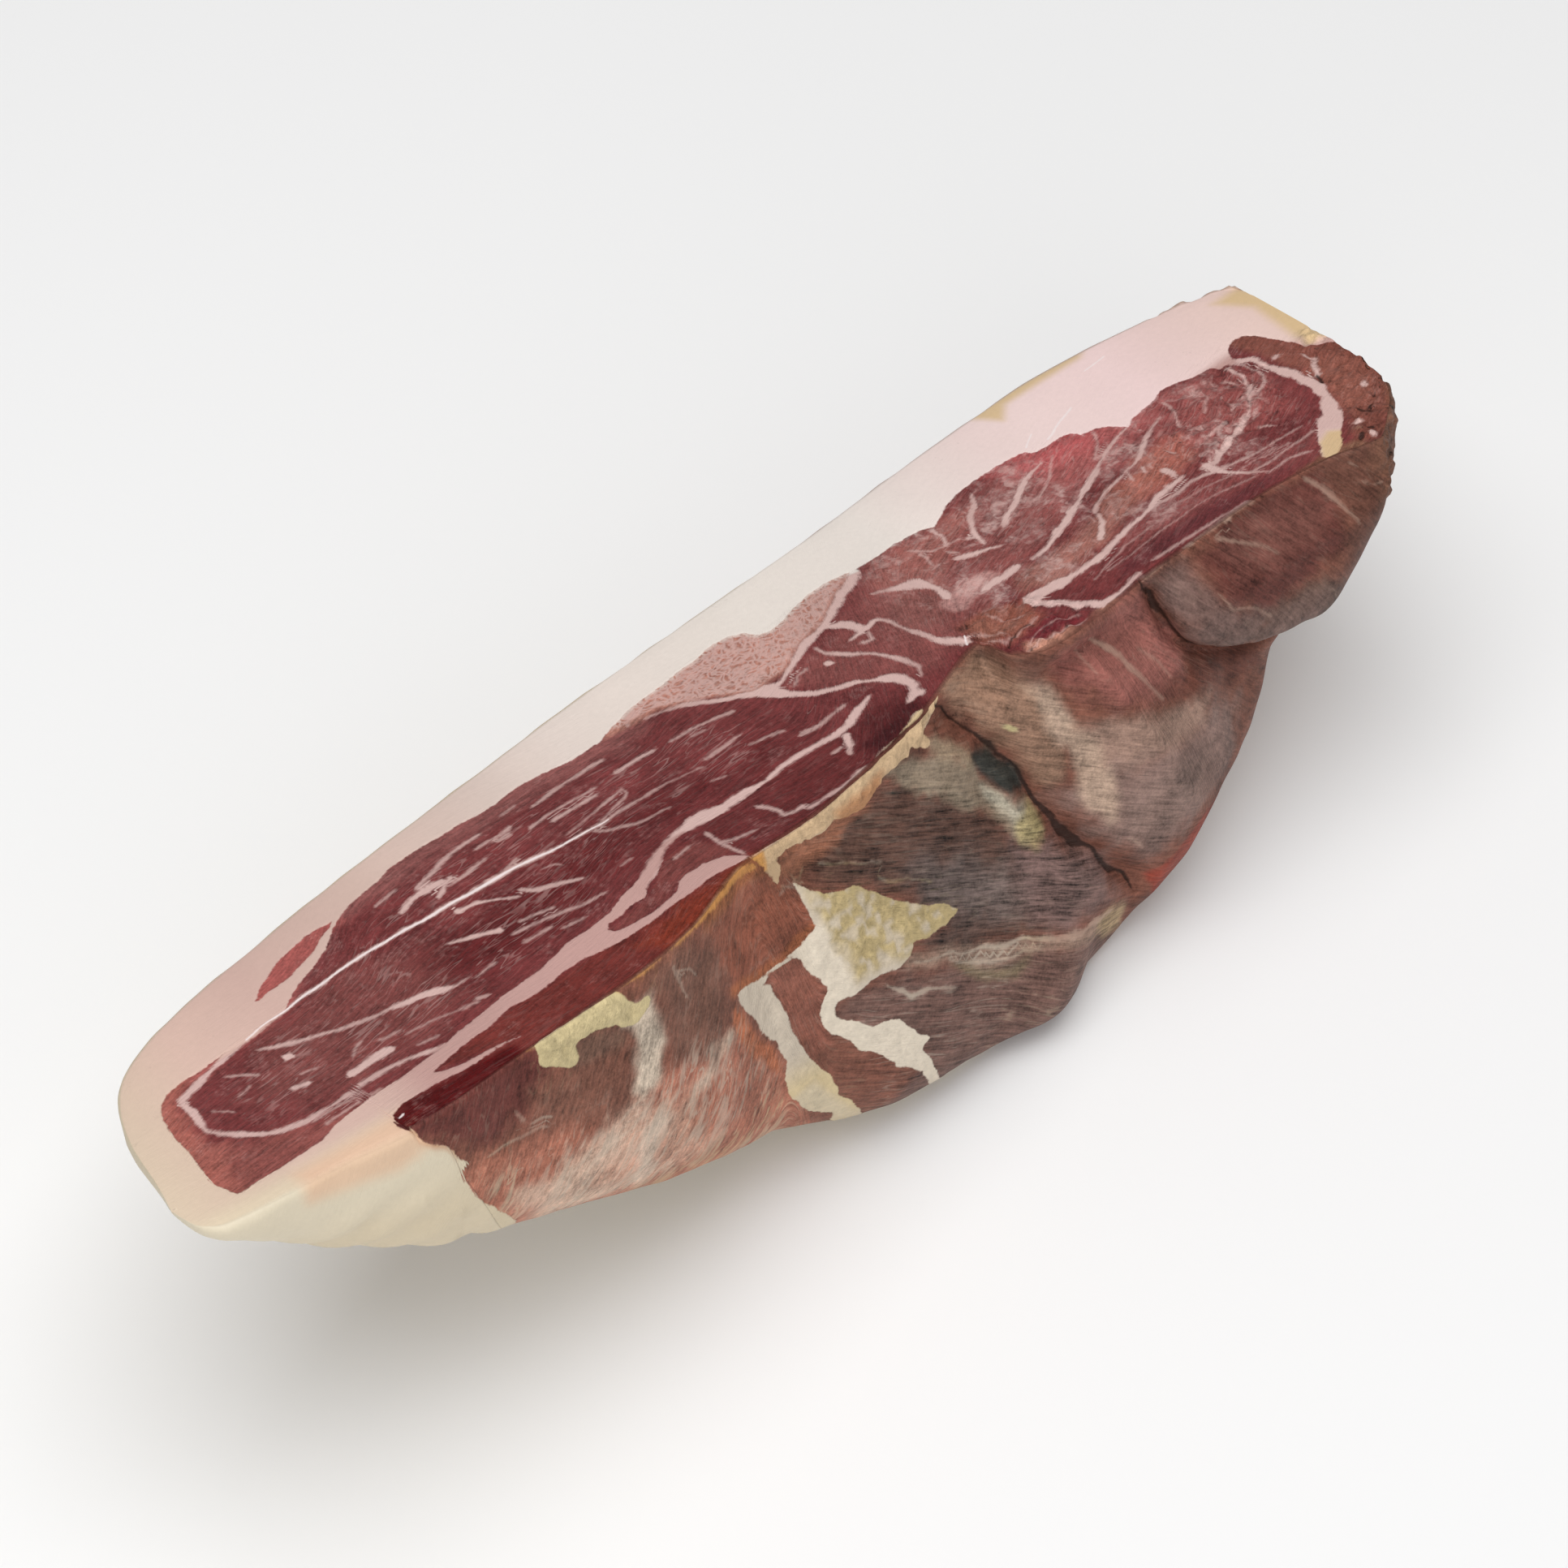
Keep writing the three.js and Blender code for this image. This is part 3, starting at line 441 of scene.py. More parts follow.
faceVeins = [
    # the long pale line through the biggest muscle, and where it forks
    [(17.8, 24.4, .6), (18.5, 25.9, .7), (20.7, 27, .7), (23.8, 27.8, .7), (26.8, 29.3, .7),
     (30.6, 30.5, .7), (34.4, 31.4, .7), (46.5, 33.8, .6), (52.5, 34.6, .55), (58.6, 35.6, .55),
     (64.7, 36.4, .55), (70.7, 36.7, .6), (80, 36.9, .6), (87.6, 37, .65), (95.2, 37, .65),
     (101.2, 36.7, .65), (105.8, 36.1, .6), (110.3, 35.5, .6), (114.8, 35.3, .55), (120.2, 35.3, .5),
     (125.5, 35.4, .4), (130, 35.9, .35), (135.3, 35.8, .3), (140.6, 35.5, .2), (145.2, 35.2, .15)],
    [(120.9, 35.5, .3), (124.7, 37, .3), (129.2, 38.6, .3), (130.4, 39.7, .3), (130.4, 41.6, .2)],
    [(121.7, 38.9, .3), (125.5, 40.3, .4), (130.4, 41.4, .3)], [(114.5, 37.4, .2), (120.9, 38.9, .2)],
    [(98.9, 36.9, .4), (103.5, 38.9, .3)],
    [(119, 34, .3), (120.9, 32.5, .3), (123.6, 31.2, .3), (125.5, 29.8, .3), (129.2, 29.2, .3),
     (133.4, 29.2, .2)],
    # the pale loop near the pointed end
    [(17.8, 24.4, .75), (17.5, 21.4, .75), (17.1, 17.6, .7), (16.9, 14.5, .5), (18.5, 11.5, .5),
     (20.7, 8.5, .65), (23.8, 5.8, .6), (27.5, 3.9, .6), (31.3, 2.7, .6), (35.9, 3, .5), (40.4, 3.4, .5),
     (45, 3.8, .5), (49.5, 3.9, .5), (54, 3.6, .5), (57.8, 2.8, .6), (60.9, 1.7, .7), (62.4, 1.3, .9)],
    [.3, (32.1, 1.7), (37.4, 2), (43.5, 1.7)], [.3, (33.6, -.6), (46.5, .2)],
    # streaks of fat along the fibres of the biggest muscle
    [.35, (27.9, 25.2), (31.3, 22.9), (32.5, 21)],
    [(36.3, 27.4, .5), (38.9, 25.5, .5), (42.7, 23.6, .5), (47.2, 21.7, .5), (51, 20.2, .4),
     (55.6, 19.7, .4), (58.6, 18.7, .4), (62.4, 18.2, .7), (66.2, 17.6, .8), (70, 16.4, .8),
     (73, 15.3, .5), (76, 15.5, .3)],
    [.9, (44.6, 7.9), (49.5, 8.1), (54, 8.5)], [.6, (34.7, 13), (36.6, 11.9), (38.1, 11.5)],
    [.3, (38.1, 15.3), (41.5, 14.5)], [.3, (48, 11.9), (49.5, 13.4), (51.7, 14.5)],
    [.25, (54, 12.3), (58.6, 11.9)], [.25, (58.6, 9.9), (64.6, 9.2), (69.2, 8.1), (73.7, 7.7)],
    [.35, (73.7, 8.9), (76.4, 8.1)], [.25, (58.6, 5.8), (63.1, 5.3)], [.25, (26.8, 18.7), (29.8, 19.5)],
    [.2, (20.7, 18.7), (22.2, 16.8), (23.4, 15.3)], [.6, (79.4, 27), (83.6, 25.2), (89, 22.3)],
    [.3, (77.5, 14.5), (82.8, 15.3)], [.3, (76, 47.1), (81.3, 48.6)],
    [(78.3, 41.8, .6), (82.1, 43.7, .8), (84.5, 43.9, 1), (89.8, 44.2, .6)],
    [.45, (84.5, 45.4), (88.3, 47.3), (92.1, 49.2), (96.7, 50.2), (102.7, 50.7)],
    [.6, (86.4, 40.5), (89, 42.7), (91.4, 44.2)], [.45, (89.8, 42), (95.2, 42.7), (99.3, 43.6)],
    [.45, (99.7, 47.3), (104.2, 47.7), (108, 48.4)], [.35, (103.5, 46.5), (106.5, 46.4)],
    [.4, (110.3, 44.6), (114.8, 45.4), (120.9, 45.6), (127.3, 45.9)],
    [.5, (114.8, 43.1), (120.2, 43.3), (125.8, 43.9)],
    [.4, (114.8, 50.3), (120.2, 51.4), (125.5, 51.8), (133, 52.2)], [.25, (109.2, 52.6), (112.6, 53.2)],
    [.5, (132.3, 46.7), (137.6, 47), (142.1, 46.7)],
    [.35, (145.5, 47), (150.5, 46.9), (155.8, 46.1), (159.9, 45)], [.2, (149.3, 45), (152.7, 44.6)],
    [.35, (147, 36.8), (151.2, 37.3), (156.5, 37.8)], [.3, (155.8, 33.6), (159.5, 32.9), (163.3, 32.1)],
    [.2, (143.6, 29.8), (146.7, 29.1)], [.4, (165.2, 29.1), (170, 28.3)],
    [.35, (164.5, 28.5), (168.3, 28.1), (172.1, 28.9), (176.7, 30.4)],
    [(86, 33.6, .8), (89.8, 33.3, .8), (92.9, 31, .6), (97, 28.3, .4)],
    [.5, (98.2, 30.2), (100.5, 27.6), (104.2, 26.1), (108.8, 23.8)],
    [.3, (105.4, 32.1), (107.7, 31.4), (108.4, 30.2)], [.35, (92.9, 21.9), (96.7, 21.1), (100, 20.4)],
    [.35, (89.8, 19.6), (95.2, 18.9), (100, 18.1), (103.5, 17), (109.2, 16.6)],
    [.3, (89.8, 16.2), (95.9, 15.8)], [.25, (97, 13.9), (102, 13.6)], [.2, (116.4, 21.1), (119, 21.5)],
    # the lower seam's upper branch, and the veins of the muscle under it
    [(115, 12.7, 1.9), (120.2, 16.5, 1.1), (125, 19.6, .6), (130, 21.3, .9), (134.5, 21.6, 1.3),
     (140, 21.7, 1.3), (150.5, 21.8, .7), (160, 23.2, 1), (165, 23.3, .6), (169.8, 23.2, .7),
     (173.6, 24.3, .9), (177.4, 26.6, .8), (181.2, 28.5, .6)],
    [.4, (133.4, 17), (133.4, 12.4), (134.2, 8.6), (135, 5.6)],
    [.35, (133.4, 12.4), (136.8, 10.9), (140.6, 10.2)],
    [.45, (145.2, 16.6), (146.7, 14.3), (147.4, 12), (147, 10.2)],
    [.5, (147, 9.8), (149.7, 9), (152, 9.4)], [.3, (124.7, 15.1), (128.5, 15.8)],
    [(171, 21.7, .8), (169.5, 18.6, .7), (167.6, 15.6, .4)], [.4, (165.3, 18.6), (168, 19)],
    [.45, (152, 7.9), (158, 8.3), (170, 10.2)], [.8, (136, 1.8), (145.9, 3.3)],
    [(146, 3.2, .8), (155.8, 3.6, 1.6), (162, 6, 1.8), (170, 9.6, 1.2), (178, 12.6, 1.5),
     (186, 15.4, 1.6)],
    # the seams between the biggest muscle and the ones behind it
    [(146.7, 56.5, .3), (150.5, 56, .3), (154.2, 54.5, .5), (158, 52.2, .6), (161.8, 49.5, .7),
     (165, 47.8, .9), (168.3, 45.5, 1.6), (169.8, 42.9, 1.2), (172.1, 40.2, .8), (175.2, 37.2, .7),
     (178.9, 35.3, .65), (182.7, 33.8, .7), (186.5, 31.1, .9), (189.2, 28.5, 1.5), (189.5, 25.5, 1.3),
     (188.4, 22, 1.6), (185.8, 20.9, .5)],
    [(168.3, 45.2, 1.2), (172.1, 45.5, .9), (175.2, 47.4, 1), (178.9, 49.7, 1.1), (182.7, 52, 1),
     (186.5, 53.5, 1), (189.5, 54.6, 1), (192.6, 56.9, 1.1), (196.4, 59.2, 1.1), (200.2, 61.4, 1.2),
     (204.7, 64.5, 1.4)],
    [(189, 54, .9), (192.6, 51.2, .9), (193.7, 48.2, .9), (193.3, 46.3, .9), (190.3, 45.9, .5)],
    [.9, (193.3, 46.3), (195.6, 47), (197.1, 47.8)], [.5, (191.4, 43.6), (193.3, 42.9), (194.1, 45.2)],
    [(183.9, 49.7, .4), (184.2, 46.7, .5), (186.5, 44, .6), (190.3, 39.8, .5), (191.8, 36.1, .7),
     (193.3, 32.3, .5), (193.9, 28.5, .4), (192.6, 25.8, .35)],
    [(197.5, 47.8, .6), (198.6, 45.9, .45), (199.8, 42.1, .45), (200.9, 37.6, .5), (201.7, 33.8, .6),
     (202.8, 31.5, 1), (205.5, 28.2, 1.5)],
    [.3, (173.3, 42.9), (175.9, 44.8), (178.9, 45.5)],
    [(202.4, 56.1, .3), (205.5, 54.2, .5), (208.5, 52.7, 1.2), (210.9, 51.6, 1.6), (212.3, 47.4, 1.4),
     (212.3, 43.6, 1.6)],
    [.8, (218.3, 39.1), (224.4, 39.8), (228.2, 40.6)],
    [(221.4, 52.3, .5), (224.4, 50.8, .8), (228.2, 49.7, .7), (230.8, 48.6, .3)],
    [.3, (221.7, 55.8), (222.9, 53.5)], [.3, (215.7, 53.1), (218, 53.5)],
    [.3, (217.2, 59.9), (217.6, 57.3), (216.8, 54.2)], [.5, (224, 64.1), (224.4, 61.1), (222.9, 57.3)],
    [(237.3, 67.9, .4), (235.8, 64.8, .5), (232.7, 61.8, .5), (230.5, 58, .6), (228.9, 55, .8),
     (228.6, 52, .6)],
    [.5, (226.7, 55.8), (228.9, 55)],
    [(234.6, 53.5, .4), (237.3, 55.8, .8), (241.1, 58, .6), (243.8, 60.5, .7), (246.8, 62.8, .7),
     (250.6, 64.7, .6), (254, 65.8, .5)],
    [(231.2, 39.8, .4), (235.8, 41, .8), (240.3, 42.9, .9), (244.1, 44.8, .9), (247.1, 47, .9),
     (249.8, 48.4, .9), (252.1, 50.3, .8), (255.2, 51.8, .7), (258.2, 53.7, .6), (262, 56.4, .5),
     (266.5, 59.4, .5), (270.3, 60.9, .5), (272.6, 61.7, .6)],
    [(249.8, 42.7, .4), (252.1, 45, .5), (255.9, 46.5, .5), (259.7, 48, .5), (263.5, 49.5, .5),
     (266.5, 50.3, .5), (268.8, 51.8, .5), (271.8, 54.1, .6), (274.1, 56, .5), (277.1, 57.9, .4),
     (280.2, 59.4, .3)],
    [(245.3, 35.2, 1), (246.8, 36.7, 1), (249.1, 39.3, .7), (250.2, 42, .4)],
    [.4, (262.7, 45.8), (263.1, 48), (263.5, 49.5)], [.5, (266.5, 48), (265.8, 45.8)],
    [(268.8, 44.2, .7), (269.5, 42, .6), (269.2, 40.5, .6)], [.4, (274.1, 49.5), (274.5, 47.3)],
    [(222.1, 29.2, 1.5), (226.7, 29.2, 1.5), (231.2, 29.6, 1.3), (235.8, 29.2, .9), (240.3, 29.7, .8),
     (243.8, 30.6, .6), (247.6, 32.1, .8), (251.4, 33.3, .8), (255.2, 34.4, .7), (258.9, 35.5, .7),
     (262, 37.4, .8), (265.8, 38.3, 1), (270.3, 39.1, .5)],
    [(258.9, 35.2, .5), (265, 35.5, .4), (270.3, 36.3, .4), (274.8, 35.9, .6), (280.2, 34.8, .4),
     (285.5, 34.4, .35), (293, 34.4, .3), (297.6, 34.4, .2)],
    [(222.9, 27.7, 1.3), (225.9, 23.9, 1.2), (228.2, 20.2, 1), (232, 17.1, .8), (235.8, 17.1, .7),
     (240.3, 18.6, .6), (243.3, 19.4, .5)],
    [(275.6, 38.9, .8), (276.4, 35.2, .8), (277.9, 32.1, .7), (280.9, 29.1, .3), (282.4, 27.6, .2)],
    [.3, (280.2, 29.8), (285.5, 29.8), (293, 30.6), (298.3, 31.4)],
    [.3, (282.4, 26.8), (288.5, 27.6), (293, 26)], [.2, (285.5, 32.1), (292.3, 31.7)],
    [(300.6, 62.4, .5), (301, 57.9, .5), (299.8, 54.1, .5), (297.6, 51.1, .5), (295.7, 48.8, .5),
     (293.8, 46.5, .5), (290.8, 44.6, .6), (287.7, 43.5, .6), (284.7, 42, .7), (280.9, 40.1, .7),
     (277.9, 38.2, .6), (274.1, 38.2, .4)],
    [.4, (303.6, 62.4), (304.8, 58.6), (304.4, 54.9), (302.1, 51.8), (298.3, 50.3)],
    [.3, (297.6, 60.2), (299.1, 57.1)], [.4, (284.7, 46.5), (283.9, 43.5)],
    [.4, (281.7, 46.9), (285.5, 46.9), (288.5, 47.7)], [.4, (292.3, 41.6), (294.2, 39.3)],
    # a painted highlight: the thin pale line along the knife's edge at the ridge
    [.3, (247.6, 21.1), (260, 21.6), (273.3, 22.3)],
    # the thick band at the right end, and the last muscle behind it
    [(302.6, 64.6, 1.6), (304.4, 63.2, 1.4), (307, 61.7, .9), (307, 57.1, .8), (307.8, 52.6, 1),
     (308.9, 48.8, 1.2), (309.1, 44.2, 1.4), (308.2, 38.9, 1.8), (305.9, 35.2, 2.1), (302.9, 31.4, 2.3),
     (299.8, 27.6, 2.4), (296.8, 24.5, 2), (294.5, 21.9, 1.2)],
    [(315, 54.1, .6), (315.8, 51.8, .5), (313.1, 48.8, .7), (312, 46.5, .9)],
    [.5, (309.7, 57.9), (311, 58.2)], [1.2, (315.6, 35.9), (316, 36.2)],
    [.9, (305.9, 26.8), (306.3, 26.5)], [.8, (305.2, 20.8), (305.8, 21.2)],
    # crystals
    [1.2, (38.8, 21.3), (39, 21.5)], [1, (182.6, 43.5), (182.8, 43.7)],
    # fibres of the torn flap and of the meat beside it
    [.1, (213, 17.5), (217, 19.6), (222, 19.6), (226, 17.6)],
    [.2, (211, 16.4), (216, 16.4), (222, 15.6), (228, 15)],
    [.2, (208, 24), (211, 22), (215, 22.4), (220, 23.6)], [.25, (207.4, 29), (210, 27), (212, 24)],
    [.2, (214, 32), (216, 28), (219, 26)], [.08, (240, 25), (252, 27), (266, 29.4), (280, 28)],
    [.12, (236, 25), (246, 28.6), (258, 31)], [.12, (262, 33), (276, 32), (290, 33)],
    [.3, (246, 56), (252, 60), (257, 66)], [.3, (262, 58), (266, 63), (268, 66)],
    [.3, (281, 54), (284, 59), (284, 63)], [.25, (288, 54), (292, 58), (292, 63)],
    [.3, (216, 62), (220, 58), (226, 57)],
]

# The inner side, in (x, g), g being the way down it from the ridge.
sideFat = [
    (-40, -10), (44.8, -10), (44.8, 0), (45.5, 4.5), (48.2, 7.6), (50.5, 9.8), (52, 13.6), (54, 15.5),
    (50.8, 17.8), (52.7, 19.7), (53.5, 23.5), (55.4, 28), (58, 31), (61, 35.2), (62.6, 39.4), (66, 50),
    (85, 63), (100, 70), (130, 84), (150, 92), (190, 94), (230, 92), (250, 85), (262, 76), (275, 65),
    (290, 51), (300, 42), (310, 31), (322, 20), (340, 10), (340, 500), (-40, 500),
]
sidePale = [  # the yellow fat where a bone lay and the two white bands that leave it
    (122, 23.7), (125, 24.3), (130, 26.8), (135, 27.3), (139, 27), (143, 26), (146.3, 24.5),
    (145.6, 21.5), (144, 18.5), (144, 13), (147, 16.3), (150.5, 18.8), (154.5, 21.2), (159, 24.3),
    (163, 27.8), (167, 32.2), (171.5, 36.2), (174, 38.2), (177, 40), (179, 42.3), (181.2, 45),
    (176, 45.3), (171, 43.7), (168.7, 43), (167, 46), (163, 46.8), (158, 45.4), (154, 45.6), (150, 45),
    (146.8, 45), (146, 46.2), (147, 48.6), (149.5, 51), (151.5, 53.5), (154, 55.5), (157.5, 56.4),
    (160, 58.4), (162.5, 61.4), (164.5, 64.4), (166.5, 66.5), (168.3, 68.4), (165.4, 69.6), (165.4, 71),
    (166.8, 74), (168.8, 78), (170.8, 82), (173.5, 87), (171, 88), (168, 83), (165, 77.5), (161.5, 72.4),
    (158.5, 69.2), (156, 65.6), (153.5, 62), (150.5, 58.4), (148, 55), (145, 51.4), (143.2, 48.2),
    (142.8, 45), (144, 42.2), (145.6, 40.6), (143.7, 36.6), (142, 33), (140.5, 29.6), (138.8, 28.4),
    (134, 28.2), (131, 28.6), (133, 31.4), (134.8, 35), (135, 40), (135.8, 45), (137, 49.5), (139, 54),
    (141.5, 59), (143.8, 64), (145.5, 68.6), (147.5, 72), (149.2, 76.5), (152, 84), (155, 92), (148, 92),
    (146, 84), (144, 75.6), (140.5, 73.2), (138, 71), (136.2, 68), (134.8, 64), (133.3, 60),
    (132.8, 55.5), (133.6, 51.4), (132, 47.2), (129.5, 43), (127.8, 38), (126, 33), (123.6, 28),
]
sideCurl = [  # a flap of fat at the ridge; its lower leg fades into the meat and is a zone
    (74, -3), (74, 4.5), (75.3, 6.8), (77.5, 8), (79.5, 9.3), (81, 9.6), (82, 9), (82.3, 7), (81.8, 6),
    (83.3, 5.3), (86, 5.7), (88.5, 6.2), (90.5, 6.4), (92.5, 8.3), (95, 9.4), (98, 8.8), (100.4, 7),
    (99.6, 5.8), (97.5, 5), (95.5, 3.4), (93.5, 1.6), (91.5, 0.2), (90, -3),
]
paintedHighlights = [  # painted highlights: bright lines on the cut face along the crease of the biggest muscle, thin ones in the fat, and a few glints
    [(36, 31.7, .12), (46.5, 33.8, .22), (52.5, 34.6, .26), (58.6, 35.6, .28), (64.7, 36.4, .3),
     (70.7, 36.7, .32), (80, 36.9, .32), (87.6, 37, .32), (95.2, 37, .32), (101.2, 36.7, .3),
     (105.8, 36.1, .3), (110.3, 35.5, .26), (116, 35.3, .2), (123, 35.3, .12)],
    [.2, (260, 71.5), (263.5, 73.4), (270.3, 76.4)], [.15, (280.2, 85.2), (287, 86.7)],
    [.15, (255.2, 72.3), (258.9, 75.7)], [.2, (44.6, -9.4), (45.8, -9)], [.25, (209, 11), (211, 12.6)],
    [.2, (205, 27), (206, 30)],
]
sideRidgeFat = [  # pale fat along the ridge
    (134, -4), (136.5, 2), (139, 8), (141, 12), (141.5, 9), (141, 5), (143, 4), (150, 4.8), (156.5, 5.8),
    (160, 7.6), (164, 8.6), (168, 7.4), (171, 5.6), (174, 6), (178, 6.2), (179.5, 4.5), (182, 7),
    (184.5, 8.3), (185.5, 6.5), (184, 4), (187, 2.8), (190, 3), (192, -4),
]
sideVeins = [
    [(159.2, 48.3, .3), (162.5, 52, .7), (165, 54.5, .9), (168.5, 56, .7), (173.3, 59.2, .4),
     (176.7, 61.7, .3)],
    [.3, (164, 24.5), (168, 28), (171.7, 31), (176.7, 34.5)], [.25, (150, 12.5), (158, 17), (166, 22.5)],
    [1.1, (205, 16.6), (206.4, 18.2)], [.4, (84.5, 29.5), (90, 27.5), (95.2, 26.5)],
    [.5, (78.5, 36.4), (83, 32.6), (90.6, 31.8), (95, 29)], [.5, (87.6, 42.4), (90.6, 36.4), (96, 33)],
    [.5, (66, 11), (67.5, 14.5)], [.5, (69, 16.5), (73, 18)], [.4, (58, 17), (66, 17.5), (72, 20)],
    [.3, (108, 4.5), (108.6, 9), (109.4, 13.5)], [.2, (108.6, 6.5), (111.5, 8), (113, 11)],
    # the light edge of the dark crust along the ridge
    [(72, .3, .3), (80, .4, .5), (86, .3, .4), (92, .6, .5), (98, .5, .8), (104, .9, .5), (110, .5, .9),
     (116, .9, .8), (122, .8, 1.2), (127, 1.4, 1.1), (131, 1.5, 1.5), (135, 2.4, 1.5)],
    # thin pale lines in the seam between the two lower muscles
    [(168, 48.5, .3), (176, 52.5, .5), (186, 58.5, .7), (198, 64.5, .8), (210, 70.5, .9), (222, 76, 1.1)],
    [(176, 54.5, .4), (184, 60.6, .6), (194, 65.5, .5), (200, 68, .3)],
    [(227.1, 5.8, .6), (231.7, 11.7, .9), (234.2, 16.7, .7), (237, 22.5, .5), (241, 29, .4)],
    [.3, (223.4, 5), (225, 10), (226.7, 15.5)], [.25, (237.5, 15), (241, 20), (244.2, 25)],
    [.5, (226, 56), (229, 59.5)], [.25, (214, 14), (215.4, 20), (216, 27)],
    [.35, (258, 12), (260, 15.5), (263.8, 18.6), (268.3, 22), (271, 25)],
    [(263, 3.4, .6), (267.6, 6.8, .5), (274.4, 11.7, .25)],
    [(287.3, 2.3, .6), (291, 6, .6), (293.7, 11.4, .4), (295.6, 14.4, .4)],
    [.2, (286.9, 26.5), (290.3, 31)], [1, (255.2, .9), (256, 1)], [.9, (266, .9), (267.6, 1)],
    [.35, (243, 1.2), (250, .6), (262, .8), (274, .8)],
    # dry straw-coloured fibres on the yellow fat's upper corner, and specks
    [.16, (141.5, 12), (144, 14.6)], [.16, (144, 10.8), (145, 14), (146.8, 11.8)],
    [.16, (140.6, 13.8), (143.4, 13)], [.2, (152.5, 35.2), (154.6, 36.2)], [.3, (117.4, 39), (118.4, 41)],
    [.3, (153.4, 61.4), (154.2, 62)], [.25, (291, 5), (292.5, 7)], [.3, (299.5, 7.5), (300.6, 8.2)],
    [.25, (297, 2.6), (298.6, 4)], [.3, (302, 9), (303.4, 9.4)],
]
faceShadedHoles = [  # painted shade: the dark holes of the crumbly right end, and a dark line at an edge of the torn patch near the notch
    [.7, (311.2, 29), (312, 29.4)], [.6, (303, 22), (304, 22.6)], [.5, (314.6, 31.8), (315.4, 32.5)],
    [.35, (312, 46.5), (311.6, 45), (310.8, 43.4)], [.12, (210, 20.6), (214, 22.8), (218, 23.2)],
    [.3, (309, 30), (310.4, 27.6)], [.35, (306.4, 24), (307.2, 23)],
]
shadedClefts = [  # painted shade: dark lines in the clefts where two muscles meet
    [(190, 2, .2), (195.5, 10.5, .45), (198.5, 15, .3), (203.5, 22, .3), (206.5, 30, .35),
     (209.5, 38, .35), (211, 42.5, .5), (213, 46.5, .7), (215.5, 51, .9), (218, 54.5, .9),
     (221, 58, .45), (223, 63.5, .35), (225, 66.5, .5), (227.5, 70, .4), (228.5, 75, .3)],
    [(242, 1, .35), (244, 5, .5), (246, 9.5, .6), (247.5, 13, .5), (249, 17.5, .45), (251, 21, .35),
     (254, 24, .4), (257, 26.2, .3), (261, 28.5, .3), (264, 30.5, .4), (270, 33, .3), (282, 36.5, .3)],
]

# Colours of the meat, as sRGB 0-255. A zone is (colour, softness of its border in mm, strength, outline).
tones = {
    "lean": (112, 51, 51), "inner": (122, 78, 64), "vein": (214, 181, 174), "seam": (190, 151, 144),
    # painted shade of the clefts and holes, and the painted highlight of the creases and glints
    "cleftShade": (34, 22, 18), "gleam": (240, 226, 224),
    # fat of the cut face
    "rimYellow": (212, 182, 132), "rimCream": (222, 206, 178), "rimFlush": (226, 178, 148),
    # fat of the other sides
    "fat": (216, 204, 180), "fatLow": (207, 190, 160), "fatUnder": (206, 180, 136),
    "inMeat": (204, 190, 172), "thinLines": (190, 160, 142), "lowBand": (212, 192, 152),
    "bone": (186, 166, 122), "curl": (196, 179, 137), "ridge": (204, 174, 138),
    "white": (224, 211, 192), "orange": (178, 116, 72), "crustEdge": (206, 150, 86),
    "flush": (222, 176, 142), "drop": (216, 206, 150),
}
# The rim's colour along x on the cut face, from the pointed end.
rimTones = [
    (0, (216, 196, 172)), (25, (216, 184, 170)), (45, (206, 173, 162)), (75, (208, 180, 168)),
    (100, (214, 191, 180)), (130, (224, 209, 200)), (180, (230, 220, 211)), (215, (231, 221, 213)),
    (250, (235, 212, 207)), (285, (238, 210, 207)), (322, (226, 197, 186)),
]
